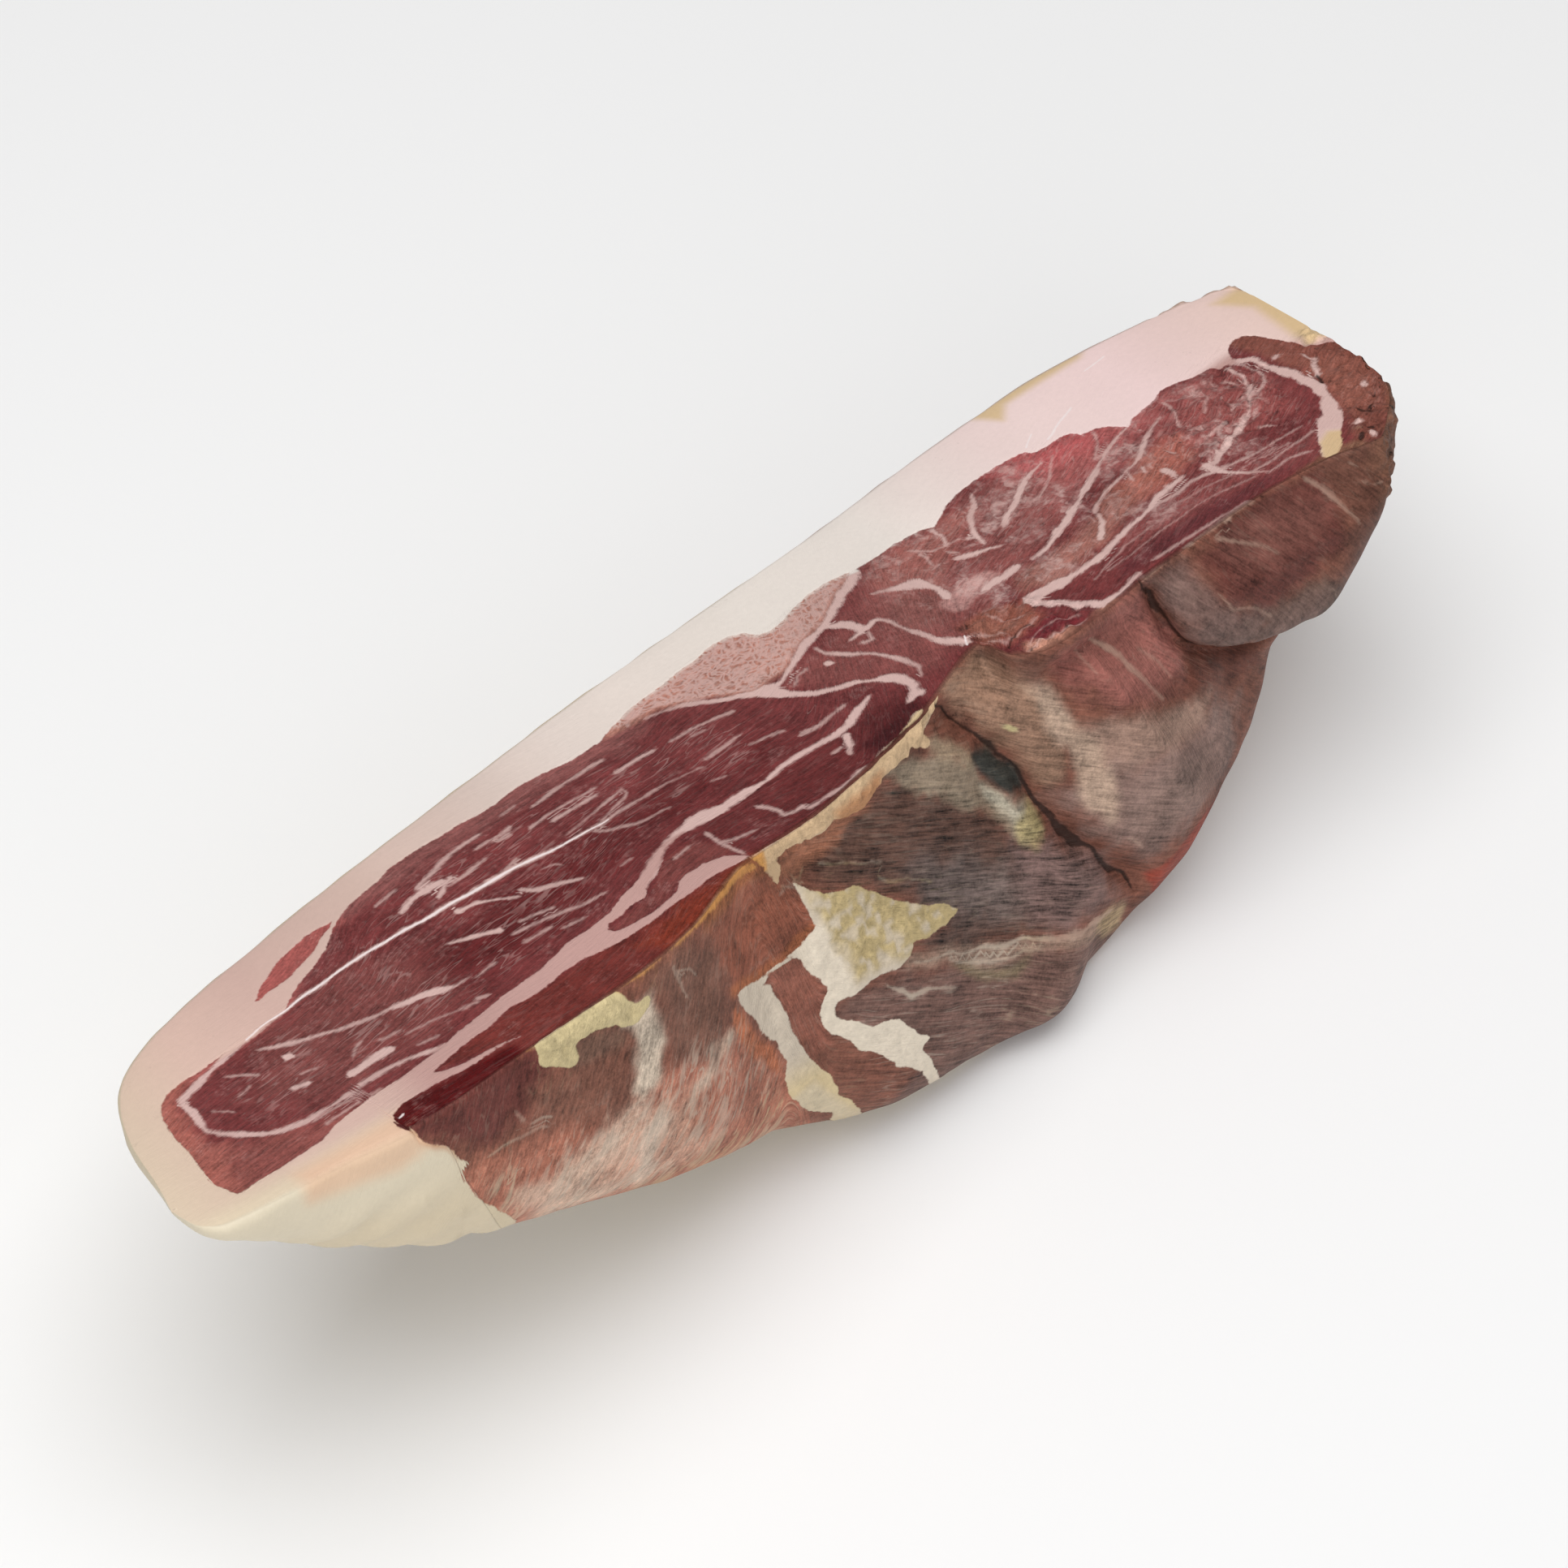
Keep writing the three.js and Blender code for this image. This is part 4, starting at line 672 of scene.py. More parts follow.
# Two muscles whose outlines the painting needs again.
marbledMuscle = [
    (137, 57.5), (150, 57), (154, 54.8), (160, 51.8), (167, 46.5), (175, 47.8), (183, 52.6), (190, 55.4),
    (196, 59.7), (205, 65), (200, 69), (170, 69), (142, 62),
]
lastMuscle = [
    (276, 40), (300, 42), (307, 58), (298, 64), (284, 60), (272, 50),
]
faceZones = [
    ((90, 30, 31), 9, .9, [(70, 14), (95, 14), (125, 24), (160, 27), (160, 33), (120, 34), (70, 30)]),
    ((122, 68, 64), 7, .7, [(36, 4), (58, 7), (72, 11), (74, 30), (60, 36), (40, 30), (28, 16)]),
    ((140, 88, 84), 3, .7, [(72, 48), (95, 51), (118, 53), (139, 52), (146, 56), (139, 60), (70, 60),
        (66, 48)]),
    ((168, 98, 86), 3, .8, [(4, -8), (14, -6), (16.5, 6), (15, 18), (17, 25), (24, 30), (14, 34),
        (4, 24)]),
    ((150, 88, 80), 4, .6, [(12, -8), (30, -6), (42, -1), (30, 2.5), (20, 7), (14, 12)]),
    ((176, 98, 92), 2, .7, [(22, 28), (44, 33), (52, 38), (44, 36), (22, 33)]),
    ((155, 80, 75), 1, 1, [(40, 38), (46, 44), (58, 51), (68, 52), (69, 48), (57, 42), (44, 38)]),
    ((98, 40, 40), 1.5, .95, [(114, 10), (122, 17), (134, 21), (168, 23), (188, 24), (190, 14),
        (170, 9.5), (157, 6), (136, 4), (133, 8), (124, 9.5)]),
    ((60, 16, 20), 5, .95, [(172, 12), (186, 15), (189, 20), (184, 21.5), (174, 21), (171, 16)]),
    ((118, 62, 58), 1, .8, [(103, 6.7), (105, 5), (115, 5), (121, 8.5), (134, 9), (130, 17), (122, 16),
        (115, 9.5)]),
    ((172, 118, 103), 1.2, .95, marbledMuscle),
    ((134, 76, 72), 4, .8, [(172, 44), (190, 52), (200, 60), (222, 65), (250, 71), (262, 60), (240, 44),
        (226, 38), (210, 30), (194, 26), (180, 35)]),
    ((134, 84, 78), 4, .7, [(198, 40), (207, 36), (214, 46), (208, 52), (199, 50)]),
    ((178, 88, 88), 4, .85, [(244, 70), (252, 62), (260, 60), (270, 60), (276, 62), (268, 68),
        (254, 73)]),
    ((160, 88, 85), 5, .8, [(247, 52), (262, 54), (282, 60), (292, 64), (280, 66), (262, 62),
        (250, 60)]),
    ((148, 80, 76), 5, .8, lastMuscle),
    ((153, 99, 88), 2.5, .9, [(222, 33), (228, 38), (236, 39), (245, 40), (252, 44), (262, 47),
        (268, 50), (268, 44), (258, 38), (250, 34), (240, 32), (230, 30)]),
    ((128, 66, 64), 3, .8, [(246, 31), (262, 35), (290, 33), (298, 30), (292, 25), (262, 25),
        (246, 24)]),
    ((96, 44, 47), 2, .85, [(240, 21), (252, 21.6), (275, 22.5), (286, 25), (272, 27.5), (255, 27),
        (242, 25)]),
    ((112, 38, 44), 1, .9, [(212.5, 19.4), (217.6, 22), (223, 20.4), (226, 16.5), (218, 13.5)]),
    ((196, 140, 118), 1.2, .85, [(209, 14), (213, 18), (218, 15.5), (226, 15), (234, 16.5), (234, 12),
        (212, 10)]),
    ((140, 84, 68), 2, .85, [(207, 23), (213, 21.5), (221, 23.5), (223, 30), (214, 34), (207, 33)]),
    ((106, 44, 39), .9, 1, [(56, -3.2), (66, -0.6), (80, 1.5), (100, 2.2), (118, 3.6), (133, 5),
        (136, 2), (132, -4), (110, -14), (43, -16), (43, -6.5), (73, -7.3), (69, -6.2)]),
    ((80, 5, 8), 1.2, .95, [(42, -16), (43.4, -8), (47, -6.6), (64, -7), (72, -9), (70, -16)]),
    ((126, 50, 32), 3, .8, [(104, -2), (116, 3), (131, 4.2), (136, 2.5), (132, -4), (112, -9)]),
    ((127, 73, 62), 1.5, 1, [(306, 70), (312, 70), (318, 56), (324, 54), (324, 34), (314, 25), (303, 17),
        (303, 25), (310, 36), (311.5, 46), (308.8, 55), (309, 62)]),
    ((140, 98, 72), 2.5, .7, [(303, 17), (312, 22), (322, 36), (324, 30), (312, 12)]),
    ((116, 80, 62), 1, .8, [(284, 22.5), (296, 23), (303, 22), (303, 14), (284, 14)]),
    ((152, 93, 85), 3.5, .8, [(206, 52), (214, 48), (224, 56), (234, 64), (226, 65), (212, 65),
        (204, 62)]),
    ((168, 100, 86), 3, .8, [(256, 40), (268, 40), (278, 44), (280, 52), (270, 51), (258, 46)]),
    ((178, 132, 126), .7, .8, [(210, 42.9), (209.2, 40.6), (210, 37.6), (212.3, 36.2), (214.5, 37.6),
        (217.6, 39.8), (222.1, 39.8), (224, 41.7), (222.9, 44), (220.6, 45), (216.8, 44.4),
        (214.2, 43.6)]),
    ((152, 100, 84), 1.2, .6, [(208, 27), (212, 23.5), (217, 24.4), (216, 28), (211, 31.6), (208, 31)]),
    ((150, 92, 78), 3, .7, [(303, 30), (314, 30), (322, 42), (321, 52), (312, 52), (310, 42)]),
]
sideZones = [
    ((98, 52, 47), 4, .95, [(44, -6), (60, -6), (80, -4), (76, 8), (68, 13), (58, 14), (50, 9),
        (44, 3)]),
    ((168, 108, 88), 3.5, .9, [(50, 14), (60, 18), (72, 22), (84, 27), (100, 25), (121, 30), (136, 62),
        (146, 96), (60, 70), (50, 34)]),
    ((200, 162, 140), 4, .6, [(72, 32), (84, 30), (100, 32), (110, 40), (108, 52), (90, 56), (74, 50)]),
    ((122, 82, 68), 3, .75, [(70, 9), (82, 10), (92, 14), (94, 24), (84, 26), (72, 20)]),
    ((200, 170, 150), 3, .8, [(62, 30), (72, 32), (86, 27), (96, 26), (90, 34), (80, 40), (92, 52),
        (70, 50)]),
    ((200, 176, 158), 1.6, .85, [(91, 38), (90, 52), (95, 52), (95.6, 44), (96, 40), (100, 36),
        (97, 33.6), (93, 35)]),
    ((196, 168, 148), 1.4, .85, [(103.5, 37), (106, 35), (111, 31), (112, 28.5), (118, 28.5),
        (121, 30.5), (113, 34), (108, 36.4)]),
    ((118, 88, 74), 2, .85, [(82, 6), (88, 6.6), (92, 9), (94, 12), (93, 14), (86, 13), (82, 11)]),
    ((200, 184, 165), 1.6, .9, [(93, 8), (95.5, 11), (95, 15), (94.5, 18), (93.2, 21), (92.4, 24),
        (95, 26), (98.5, 25.5), (100.2, 21.5), (102, 18), (102, 13), (101.5, 9), (100.5, 6), (97, 5)]),
    ((116, 82, 69), 4, .8, [(101, 2), (112, 2), (119, 10), (118, 24), (112, 32), (104, 24), (103, 14)]),
    ((150, 84, 62), 3, .6, [(104, 36), (113, 36), (116, 44), (110, 50), (105, 44)]),
    ((150, 94, 60), 3, .8, [(116, -4), (136, -4), (139, 6), (128, 7), (118, 4)]),
    ((138, 82, 64), 1.5, .9, [(119, 5), (123, 22), (130, 26), (138, 26.4), (143, 25), (147, 24),
        (144, 17), (141, 10), (134, 5)]),
    ((164, 98, 62), .8, .7, [(121, 20.4), (130, 24.6), (137, 25.4), (143, 23.8), (147, 22.6), (147, 25),
        (137, 28), (128, 26.8), (121, 23)]),
    ((172, 102, 70), .8, .8, [(121, 26), (123, 29), (125.6, 36), (128, 42), (130.5, 47), (131.6, 52),
        (130.6, 52), (127.4, 47), (124.4, 42), (121.4, 34), (119.4, 28)]),
    ((142, 88, 73), 2, .9, [(131, 28), (140, 29), (146, 41), (143, 46), (144, 54), (140, 54), (136, 46),
        (134, 34)]),
    ((88, 64, 55), 3, .95, [(146, 10), (166, 9), (174, 10), (188, 22), (196, 32), (201, 42), (212, 52),
        (222, 62), (205, 67), (186, 58), (170, 47), (182, 45), (172, 36), (160, 24), (148, 15)]),
    ((97, 85, 81), 5, .85, [(172, 28), (186, 34), (196, 44), (196, 54), (184, 50), (172, 40)]),
    ((118, 101, 95), 4, .8, [(186, 42), (194, 44), (201, 52), (198, 60), (190, 54)]),
    ((120, 96, 91), 4, .85, [(198, 42), (212, 48), (224, 62), (222, 72), (205, 67), (198, 60)]),
    ((113, 86, 78), 3, .9, [(148, 45), (164, 48), (184, 60), (205, 69), (226, 78), (226, 96), (150, 96),
        (166, 72), (160, 61), (147, 51)]),
    ((150, 124, 108), 1.1, .85, [(165, 46), (170, 47.5), (176, 50.5), (181, 53.5), (186, 57),
        (191, 60.5), (196, 63.5), (201, 66), (206, 68.5), (210, 70.5), (216, 73), (221, 75.5), (226, 80),
        (227, 87), (222, 84), (216, 77), (208, 72), (200, 68.6), (190, 64.6), (182, 60.6), (174, 53.5),
        (166, 49)]),
    ((122, 108, 84), 1.2, .8, [(176, 55.5), (180, 61), (184, 64.5), (190, 68), (195, 70), (197, 68),
        (190, 65.5), (184, 62.5), (179, 57)]),
    ((170, 146, 110), 2, .8, [(217, 74), (222, 75), (226, 80), (227, 88), (221, 84)]),
    ((136, 122, 104), 1.2, .9, [(171, 5), (178, 6), (188, 14), (192, 18), (196, 20), (197, 25),
        (203, 33), (207, 36), (209, 44), (203, 44), (199, 36), (192, 28), (184, 20), (178, 13)]),
    ((176, 168, 150), 1.1, .85, [(196, 26), (200, 29), (206, 37), (205, 42), (200, 34.5), (196, 30)]),
    ((156, 140, 116), 1.6, .7, [(184, 6), (190, 10), (195, 17), (196, 21), (191, 17), (186, 11)]),
    ((172, 156, 112), 1.4, .9, [(202.5, 37), (208, 37.5), (209.5, 44), (205, 45.4), (202, 42)]),
    # painted shade: the near-black grey inside the pocket sunk into the side along the cleft
    ((56, 56, 52), 1, 1, [(196, 19), (199, 19.5), (203, 21.5), (205, 26), (207.5, 31), (208.5, 35),
        (206.5, 35.5), (203, 32.5), (200, 29), (197.5, 25.5), (195.5, 21.5)]),
    ((150, 118, 98), 2, .9, [(192, 0), (206, 2), (212, 6), (216, 14), (217, 24), (214, 34), (210, 36),
        (206, 24), (200, 14)]),
    ((178, 152, 134), 1.6, .8, [(212, 9), (216, 11), (219, 20), (218, 27), (214, 20)]),
    ((104, 72, 62), 2, .8, [(206, 1), (216, 4), (215, 12), (210, 8)]),
    ((143, 89, 81), 3, .95, [(216, 4), (226, 2), (242, 2), (247, 14), (252, 26), (246, 30), (230, 25),
        (220, 14)]),
    ((100, 58, 47), 3, .9, [(240, 26), (256, 26), (270, 33), (274, 44), (264, 42), (256, 36),
        (246, 33)]),
    ((152, 124, 110), 2.5, .9, [(216, 24), (226.7, 26), (236, 31), (246.7, 33), (254, 36), (250, 42),
        (232, 42), (220, 36)]),
    ((130, 106, 98), 4, .9, [(220, 36), (240, 40), (256, 40), (264, 48), (256, 58), (243, 62), (231, 64),
        (222, 54), (212, 38)]),
    ((182, 156, 136), 1.6, .8, [(210, 9), (214, 13), (219, 21), (224, 31), (226, 44), (224, 50),
        (218, 44), (217, 30), (213, 18)]),
    ((138, 62, 48), .8, 1, [(231, 71.4), (235, 69.4), (241, 67.4), (248, 65.4), (256, 63.4), (258, 72),
        (246, 80), (235, 82)]),
    ((106, 80, 74), 3, .95, [(244, 2), (250, 1), (256, 8), (262, 18), (270, 24), (262, 28), (254, 21),
        (248, 12)]),
    ((96, 54, 48), 3, .95, [(256, 4), (274, 0), (294, 2), (292, 20), (272, 24), (258, 12)]),
    ((98, 77, 68), 3, .9, [(256, 21), (268, 24), (286, 23), (294, 28), (290, 38), (276, 34), (264, 30)]),
    ((100, 65, 54), 3, .9, [(292, -2), (304, -4), (308, 30), (294, 36), (292, 16)]),
    ((116, 80, 64), 3, .9, [(303, -4), (330, -6), (330, 50), (303, 45)]),
    # the silvery film on the end muscle and on the middle one
    ((118, 94, 87), 2.5, .65, [(247, 6), (251, 4), (256, 12), (263, 20), (270, 25), (280, 26), (288, 27),
        (286, 33), (274, 32), (262, 27), (252, 20)]),
    ((114, 73, 65), 3, .7, [(262, 5), (276, 4), (290, 8), (286, 14), (272, 14), (264, 11)]),
    ((146, 122, 112), 3, .4, [(226, 44), (240, 46), (250, 48), (247, 56), (236, 58), (226, 54)]),
    ((150, 98, 74), 1.5, .9, [(141, 3), (150, 3.6), (158, 5), (166, 9), (160, 10), (147, 12),
        (140, 10)]),
]


def linear(color):
    # sRGB 0-255 to linear light: ((s + 0.055) / 1.055)^2.4.
    s = np.asarray(color, float) / 255
    return np.where(s <= 0.04045, s / 12.92, ((s + 0.055) / 1.055) ** 2.4)


def insideOf(outline, x, y):
    # Signed distance to a closed outline in mm, positive inside: the least distance to its edges, with the
    # sign from how many edges a ray to the right crosses.
    inside = np.zeros(x.shape, bool)
    nearest = np.full(x.shape, 1e9)
    for (ax, ay), (bx, by) in zip(outline, outline[1:] + outline[:1]):
        along = ((x - ax) * (bx - ax) + (y - ay) * (by - ay)) / ((bx - ax) ** 2 + (by - ay) ** 2)
        along = np.clip(along, 0, 1)
        nearest = np.minimum(nearest, (x - ax - along * (bx - ax)) ** 2 + (y - ay - along * (by - ay)) ** 2)
        if ay != by:
            crosses = ((ay > y) != (by > y)) & (x < (bx - ax) * (y - ay) / (by - ay) + ax)
            inside ^= crosses
    return np.sqrt(nearest) * np.where(inside, 1, -1)


def onLines(lines, x, y, least=-0.8):
    # For the line that is nearest by (half width - distance): the signed distance across it and the half
    # width there, in mm, so that the shader can draw it finer than the mesh. Past a line's end the half
    # width shrinks by the way past it. Where no line is near, 0 and the least.
    across, half = np.zeros(x.shape), np.full(x.shape, least)
    best = np.full(x.shape, least)
    for line in lines:
        even = not isinstance(line[0], tuple)
        points = [(*point, line[0]) for point in line[1:]] if even else line
        last = len(points) - 2
        for n, ((ax, ay, aw), (bx, by, bw)) in enumerate(zip(points, points[1:])):
            reach = max(aw, bw) - least
            near = (x > min(ax, bx) - reach) & (x < max(ax, bx) + reach)
            near &= (y > min(ay, by) - reach) & (y < max(ay, by) + reach)
            if not near.any():
                continue
            px, py, length = x[near] - ax, y[near] - ay, math.hypot(bx - ax, by - ay)
            along = (px * (bx - ax) + py * (by - ay)) / length
            side = (px * (by - ay) - py * (bx - ax)) / length
            past = along - np.clip(along, 0, length)
            ends = ((past < 0) & (n == 0)) | ((past > 0) & (n == last))
            side = np.where(ends, side, np.copysign(np.hypot(side, past), side))
            width = mix(aw, bw, np.clip(along / length, 0, 1)) - np.where(ends, np.abs(past), 0)
            better = width - np.abs(side) > best[near]
            where = np.flatnonzero(near)[better]
            best[where] = (width - np.abs(side))[better]
            across[where], half[where] = side[better], width[better]
    return across, half


def paintZones(base, zones, x, y, wobble):
    # Lays the zones over the base colour in order, each by its strength where it is inside its outline,
    # with a soft border that the wobble makes uneven.
    for color, soft, strength, outline in zones:
        # only near the outline
        xs, ys = [p[0] for p in outline], [p[1] for p in outline]
        near = (x > min(xs) - soft - 1) & (x < max(xs) + soft + 1)
        near &= (y > min(ys) - soft - 1) & (y < max(ys) + soft + 1)
        inside = insideOf(outline, x[near], y[near]) + wobble[near] * soft * 0.7
        share = smoothStep(inside, -soft, soft) * strength
        base[near] = mix(base[near], linear(color), share[:, None])
    return base


def within(outline, x, y, low, high):
    # The smooth step of the signed distance to an outline: 0 outside it and 1 inside.
    return smoothStep(insideOf(outline, x, y), low, high)


def laid(base, tone, share):
    # The base colours with a named tone mixed in by its share at each point.
    return mix(base, linear(tones[tone]), share[:, None])


# Where the rim of the cut face has turned yellow: how softly, and the outline.
faceYellow = [
    (1.5, [(258, 84), (262, 88.5), (283, 90), (290, 96), (250, 96)]),
    (2, [(317, 56), (319, 76), (314, 84), (330, 86), (330, 54)]),
    (1, [(154, 5), (162, 8), (170, 11), (186, 18), (192, 14), (170, 4), (150, -2)]),
    (1, [(300, 29), (296, 27), (290, 18), (300, 17), (306, 24)]),
]
# Outlines that steer the fibres, the crumbs and the fat's colours.
facePatches = {
    "flush": [(22, -9), (46, -9), (46, -20), (22, -20)],
    "biggest": [
        (20, 8), (50, 4), (90, 10), (125, 24), (180, 30), (150, 50), (120, 55), (80, 50), (60, 36),
        (24, 24),
    ],
    "torn": [(206, 12), (235, 12), (226, 22), (223, 30), (214, 34), (206, 33)],
    "end": [(300, 16), (316, 24), (324, 30), (324, 62), (318, 60), (312, 44), (308, 32)],
}
sidePatches = {
    "streaky": [
        (52, 17), (70, 22), (90, 25), (104, 21), (122, 27), (130, 44), (138, 70), (146, 96), (60, 80),
        (54, 34),
    ],
    "mauve": [(148, 45), (184, 60), (226, 80), (226, 96), (150, 96), (152, 60)],
    "lobe": [(146, 9), (174, 8), (200, 34), (224, 62), (206, 68), (170, 46), (148, 15)],
    "inLean": [(66, -4), (66, 64), (100, 70), (140, 60), (156, 88), (176, 90), (196, 60), (200, -4)],
    "curl": [(70, -4), (104, -4), (104, 10), (90, 14), (70, 12)],
    "bone": [(143, 10), (150, 10), (190, 44), (184, 50), (160, 44), (152, 43), (149, 32), (148, 24)],
    "white": [(140, 26), (150, 24), (152, 44), (170, 60), (172, 88), (140, 48)],
    "orange": [(157, 4), (170, 4), (169, 10), (158, 9)],
    "crustEdge": [(66, -4), (138, -4), (138, 6), (122, 4), (66, 3)],
    "flush": [(22, -4), (46, -4), (48, 5), (40, 7), (22, 4)],
    "tan": [(196, 2), (222, 2), (224, 20), (210, 22), (198, 14)],
    "ridge": [(134, -4), (192, -4), (190, 8), (160, 6), (134, 5)],
}
# How the parts of the paint are laid. A pair is a fade in mm, from 0 at its first number to 1 at its
# second; a single number is a share, unless it says otherwise.
faceLooks = {
    "yellow": 0.85, "cream": 0.8, "creamAbove": (-4, -11), "creamUntil": (40, 50), "flush": 0.6,
    "inMeatFrom": (44, 56), "inMeatBelow": (2, 6), "seamsBorder": (0.2, 1.0), "seamsMiddle": (-1.2, -0.2),
    "spottedFrom": (196, 214), "spottedBelow": (26, 34), "spottedUntil": (300, 306),
    "spottedNetwork": 0.35, "spottedStreaks": 0.4, "biggestStreaks": 0.42, "streaks": 0.1,
    "fibrous": 0.3, "wet": 1, "steepFrom": (165, 215), "steepSlope": 0.55,
    # how fast the fibres' noise runs along x, across the muscle and into the meat
    "grainAlong": 0.16, "grainAcross": 45, "grainInto": 0.25,
}
sideLooks = {
    "pastLines": -1.5,  # mm, the half width where no line is near
    "veins": 0.75, "unevenPale": 0.5, "streaks": 0.18, "mauveStreaks": 0.45, "wet": 0.35,
    "fibrous": 0.35, "lobeFibrous": 0.75, "mauveFibrous": 0.35,
    "low": 0.7, "lowFrom": (8, 26), "lowUntil": (60, 100), "under": 0.8, "underFrom": (60, 120),
    "linesFrom": (196, 206), "leftOf": (74, 66), "bandFrom": (50, 62), "bandUntil": (148, 154),
    "spots": 0.7, "spotsOver": (0.1, 0.5), "spotsFrom": (110, 120), "spotSize": 1.6,
    "curlUntil": (110, 106), "orange": 0.7, "orangeReach": 0.7, "orangeFrom": (0, 2),
    "orangeUntil": (10, 14), "crustUntil": (-1, 0), "flush": 0.6, "dropAt": (205.7, 17.4),
    "dropReach": 2.5,
    "crumbFrom": (301, 307), "crumbPale": (-1, 2), "crumbWhite": 0.35, "crumbYellow": 0.5,
    "crumbTan": 0.35, "crumbRidge": 0.8,
    # where the fibres turn, and how fast their noise runs into the meat
    "lobeFrom": (132, 144), "endFrom": (222, 234), "endSlant": 0.4, "grainInto": 0.1,
}
# The fibres of the inner side, for its three parts: measured from where, along and across what, and how
# much the noise is drawn out along them.
sideFibres = [
    ((90, 30), (-0.51, 0.86), (0.86, 0.51), 0.2), ((145, 30), (0.84, 0.54), (-0.54, 0.84), 0.07),
    ((245, 20), (0.62, 0.78), (-0.78, 0.62), 0.14),
]
fibreEdge = smoothCurve([(9, -6), (50, 0), (100, 9), (125, 20), (160, 23), (200, 26), (322, 26)])


def facePaint(x, c, xd, cd, uneven):
    # The paint of the cut face at (x, c), borders and lines drawn at the shifted places (xd, cd). Fat is
    # the signed distance to its outlines. The rim's colour runs along x, with spots mixed in by their
    # shares; inside the meat it is the seams' tone. Fibres run by the share of the way from the lower
    # edge of the biggest muscle to its upper one, and steeply across it at the thick end.
    looks = faceLooks
    made = {"fat": np.minimum(insideOf(faceFat, xd, cd), -insideOf(faceSliver, xd, cd))}
    for key, lines in (("vein", faceVeins), ("cleftShade", faceShadedHoles), ("gleam", paintedHighlights)):
        made[key + "Off"], made[key + "Half"] = onLines(lines, xd, cd)
    base = np.broadcast_to(linear(tones["lean"]), x.shape + (3,)).copy()
    made["meatTone"] = paintZones(base, faceZones, xd, cd, uneven)
    rimX, rimColors = zip(*rimTones)
    rim = np.stack([np.interp(x, rimX, linear(rimColors)[:, k]) for k in range(3)], -1)
    yellow = np.max([within(outline, x, c, -1.5, soft) for soft, outline in faceYellow], axis=0)
    rim = laid(rim, "rimYellow", yellow * looks["yellow"])
    cream = smoothStep(c, *looks["creamAbove"]) * (1 - smoothStep(x, *looks["creamUntil"]))
    rim = laid(rim, "rimCream", cream * looks["cream"])
    inMeat = smoothStep(curves["upper"](x) - c, *looks["inMeatBelow"])
    inMeat = smoothStep(x, *looks["inMeatFrom"]) * inMeat
    inMeat = np.maximum(inMeat, smoothStep(-made["fat"], *looks["seamsBorder"])) * (1 - yellow)
    middle = smoothStep(made["fat"], *looks["seamsMiddle"])[:, None]
    rim = mix(rim, mix(linear(tones["vein"]), linear(tones["seam"]), middle), inMeat[:, None])
    made["fatTone"] = laid(rim, "rimFlush", within(facePatches["flush"], x, c, -3, 2) * looks["flush"])

    spotted = smoothStep(x, *looks["spottedFrom"]) * smoothStep(c, *looks["spottedBelow"])
    spotted = spotted * (1 - smoothStep(x, *looks["spottedUntil"]))
    network = within(marbledMuscle, xd, cd, -1, 2)
    made["network"] = np.maximum(network, looks["spottedNetwork"] * spotted)
    biggest = looks["biggestStreaks"] * within(facePatches["biggest"], x, c, -2, 6)
    made["streaky"] = np.maximum(biggest, looks["spottedStreaks"] * spotted) + looks["streaks"]
    made["fibrous"] = looks["fibrous"]
    made["wet"] = looks["wet"]
    share = (c - fibreEdge(x)) / (curves["upper"](x) - fibreEdge(x))
    steep = smoothStep(x, *looks["steepFrom"])
    across = mix(share * looks["grainAcross"], c - looks["steepSlope"] * x, steep)
    made["grain"] = np.stack([x * looks["grainAlong"], across, looks["grainInto"] * c], -1)
    rough = (lastMuscle, facePatches["torn"], facePatches["end"])
    made["crumb"] = np.max([within(outline, x, c, -2, 1) for outline in rough], axis=0)
    return made


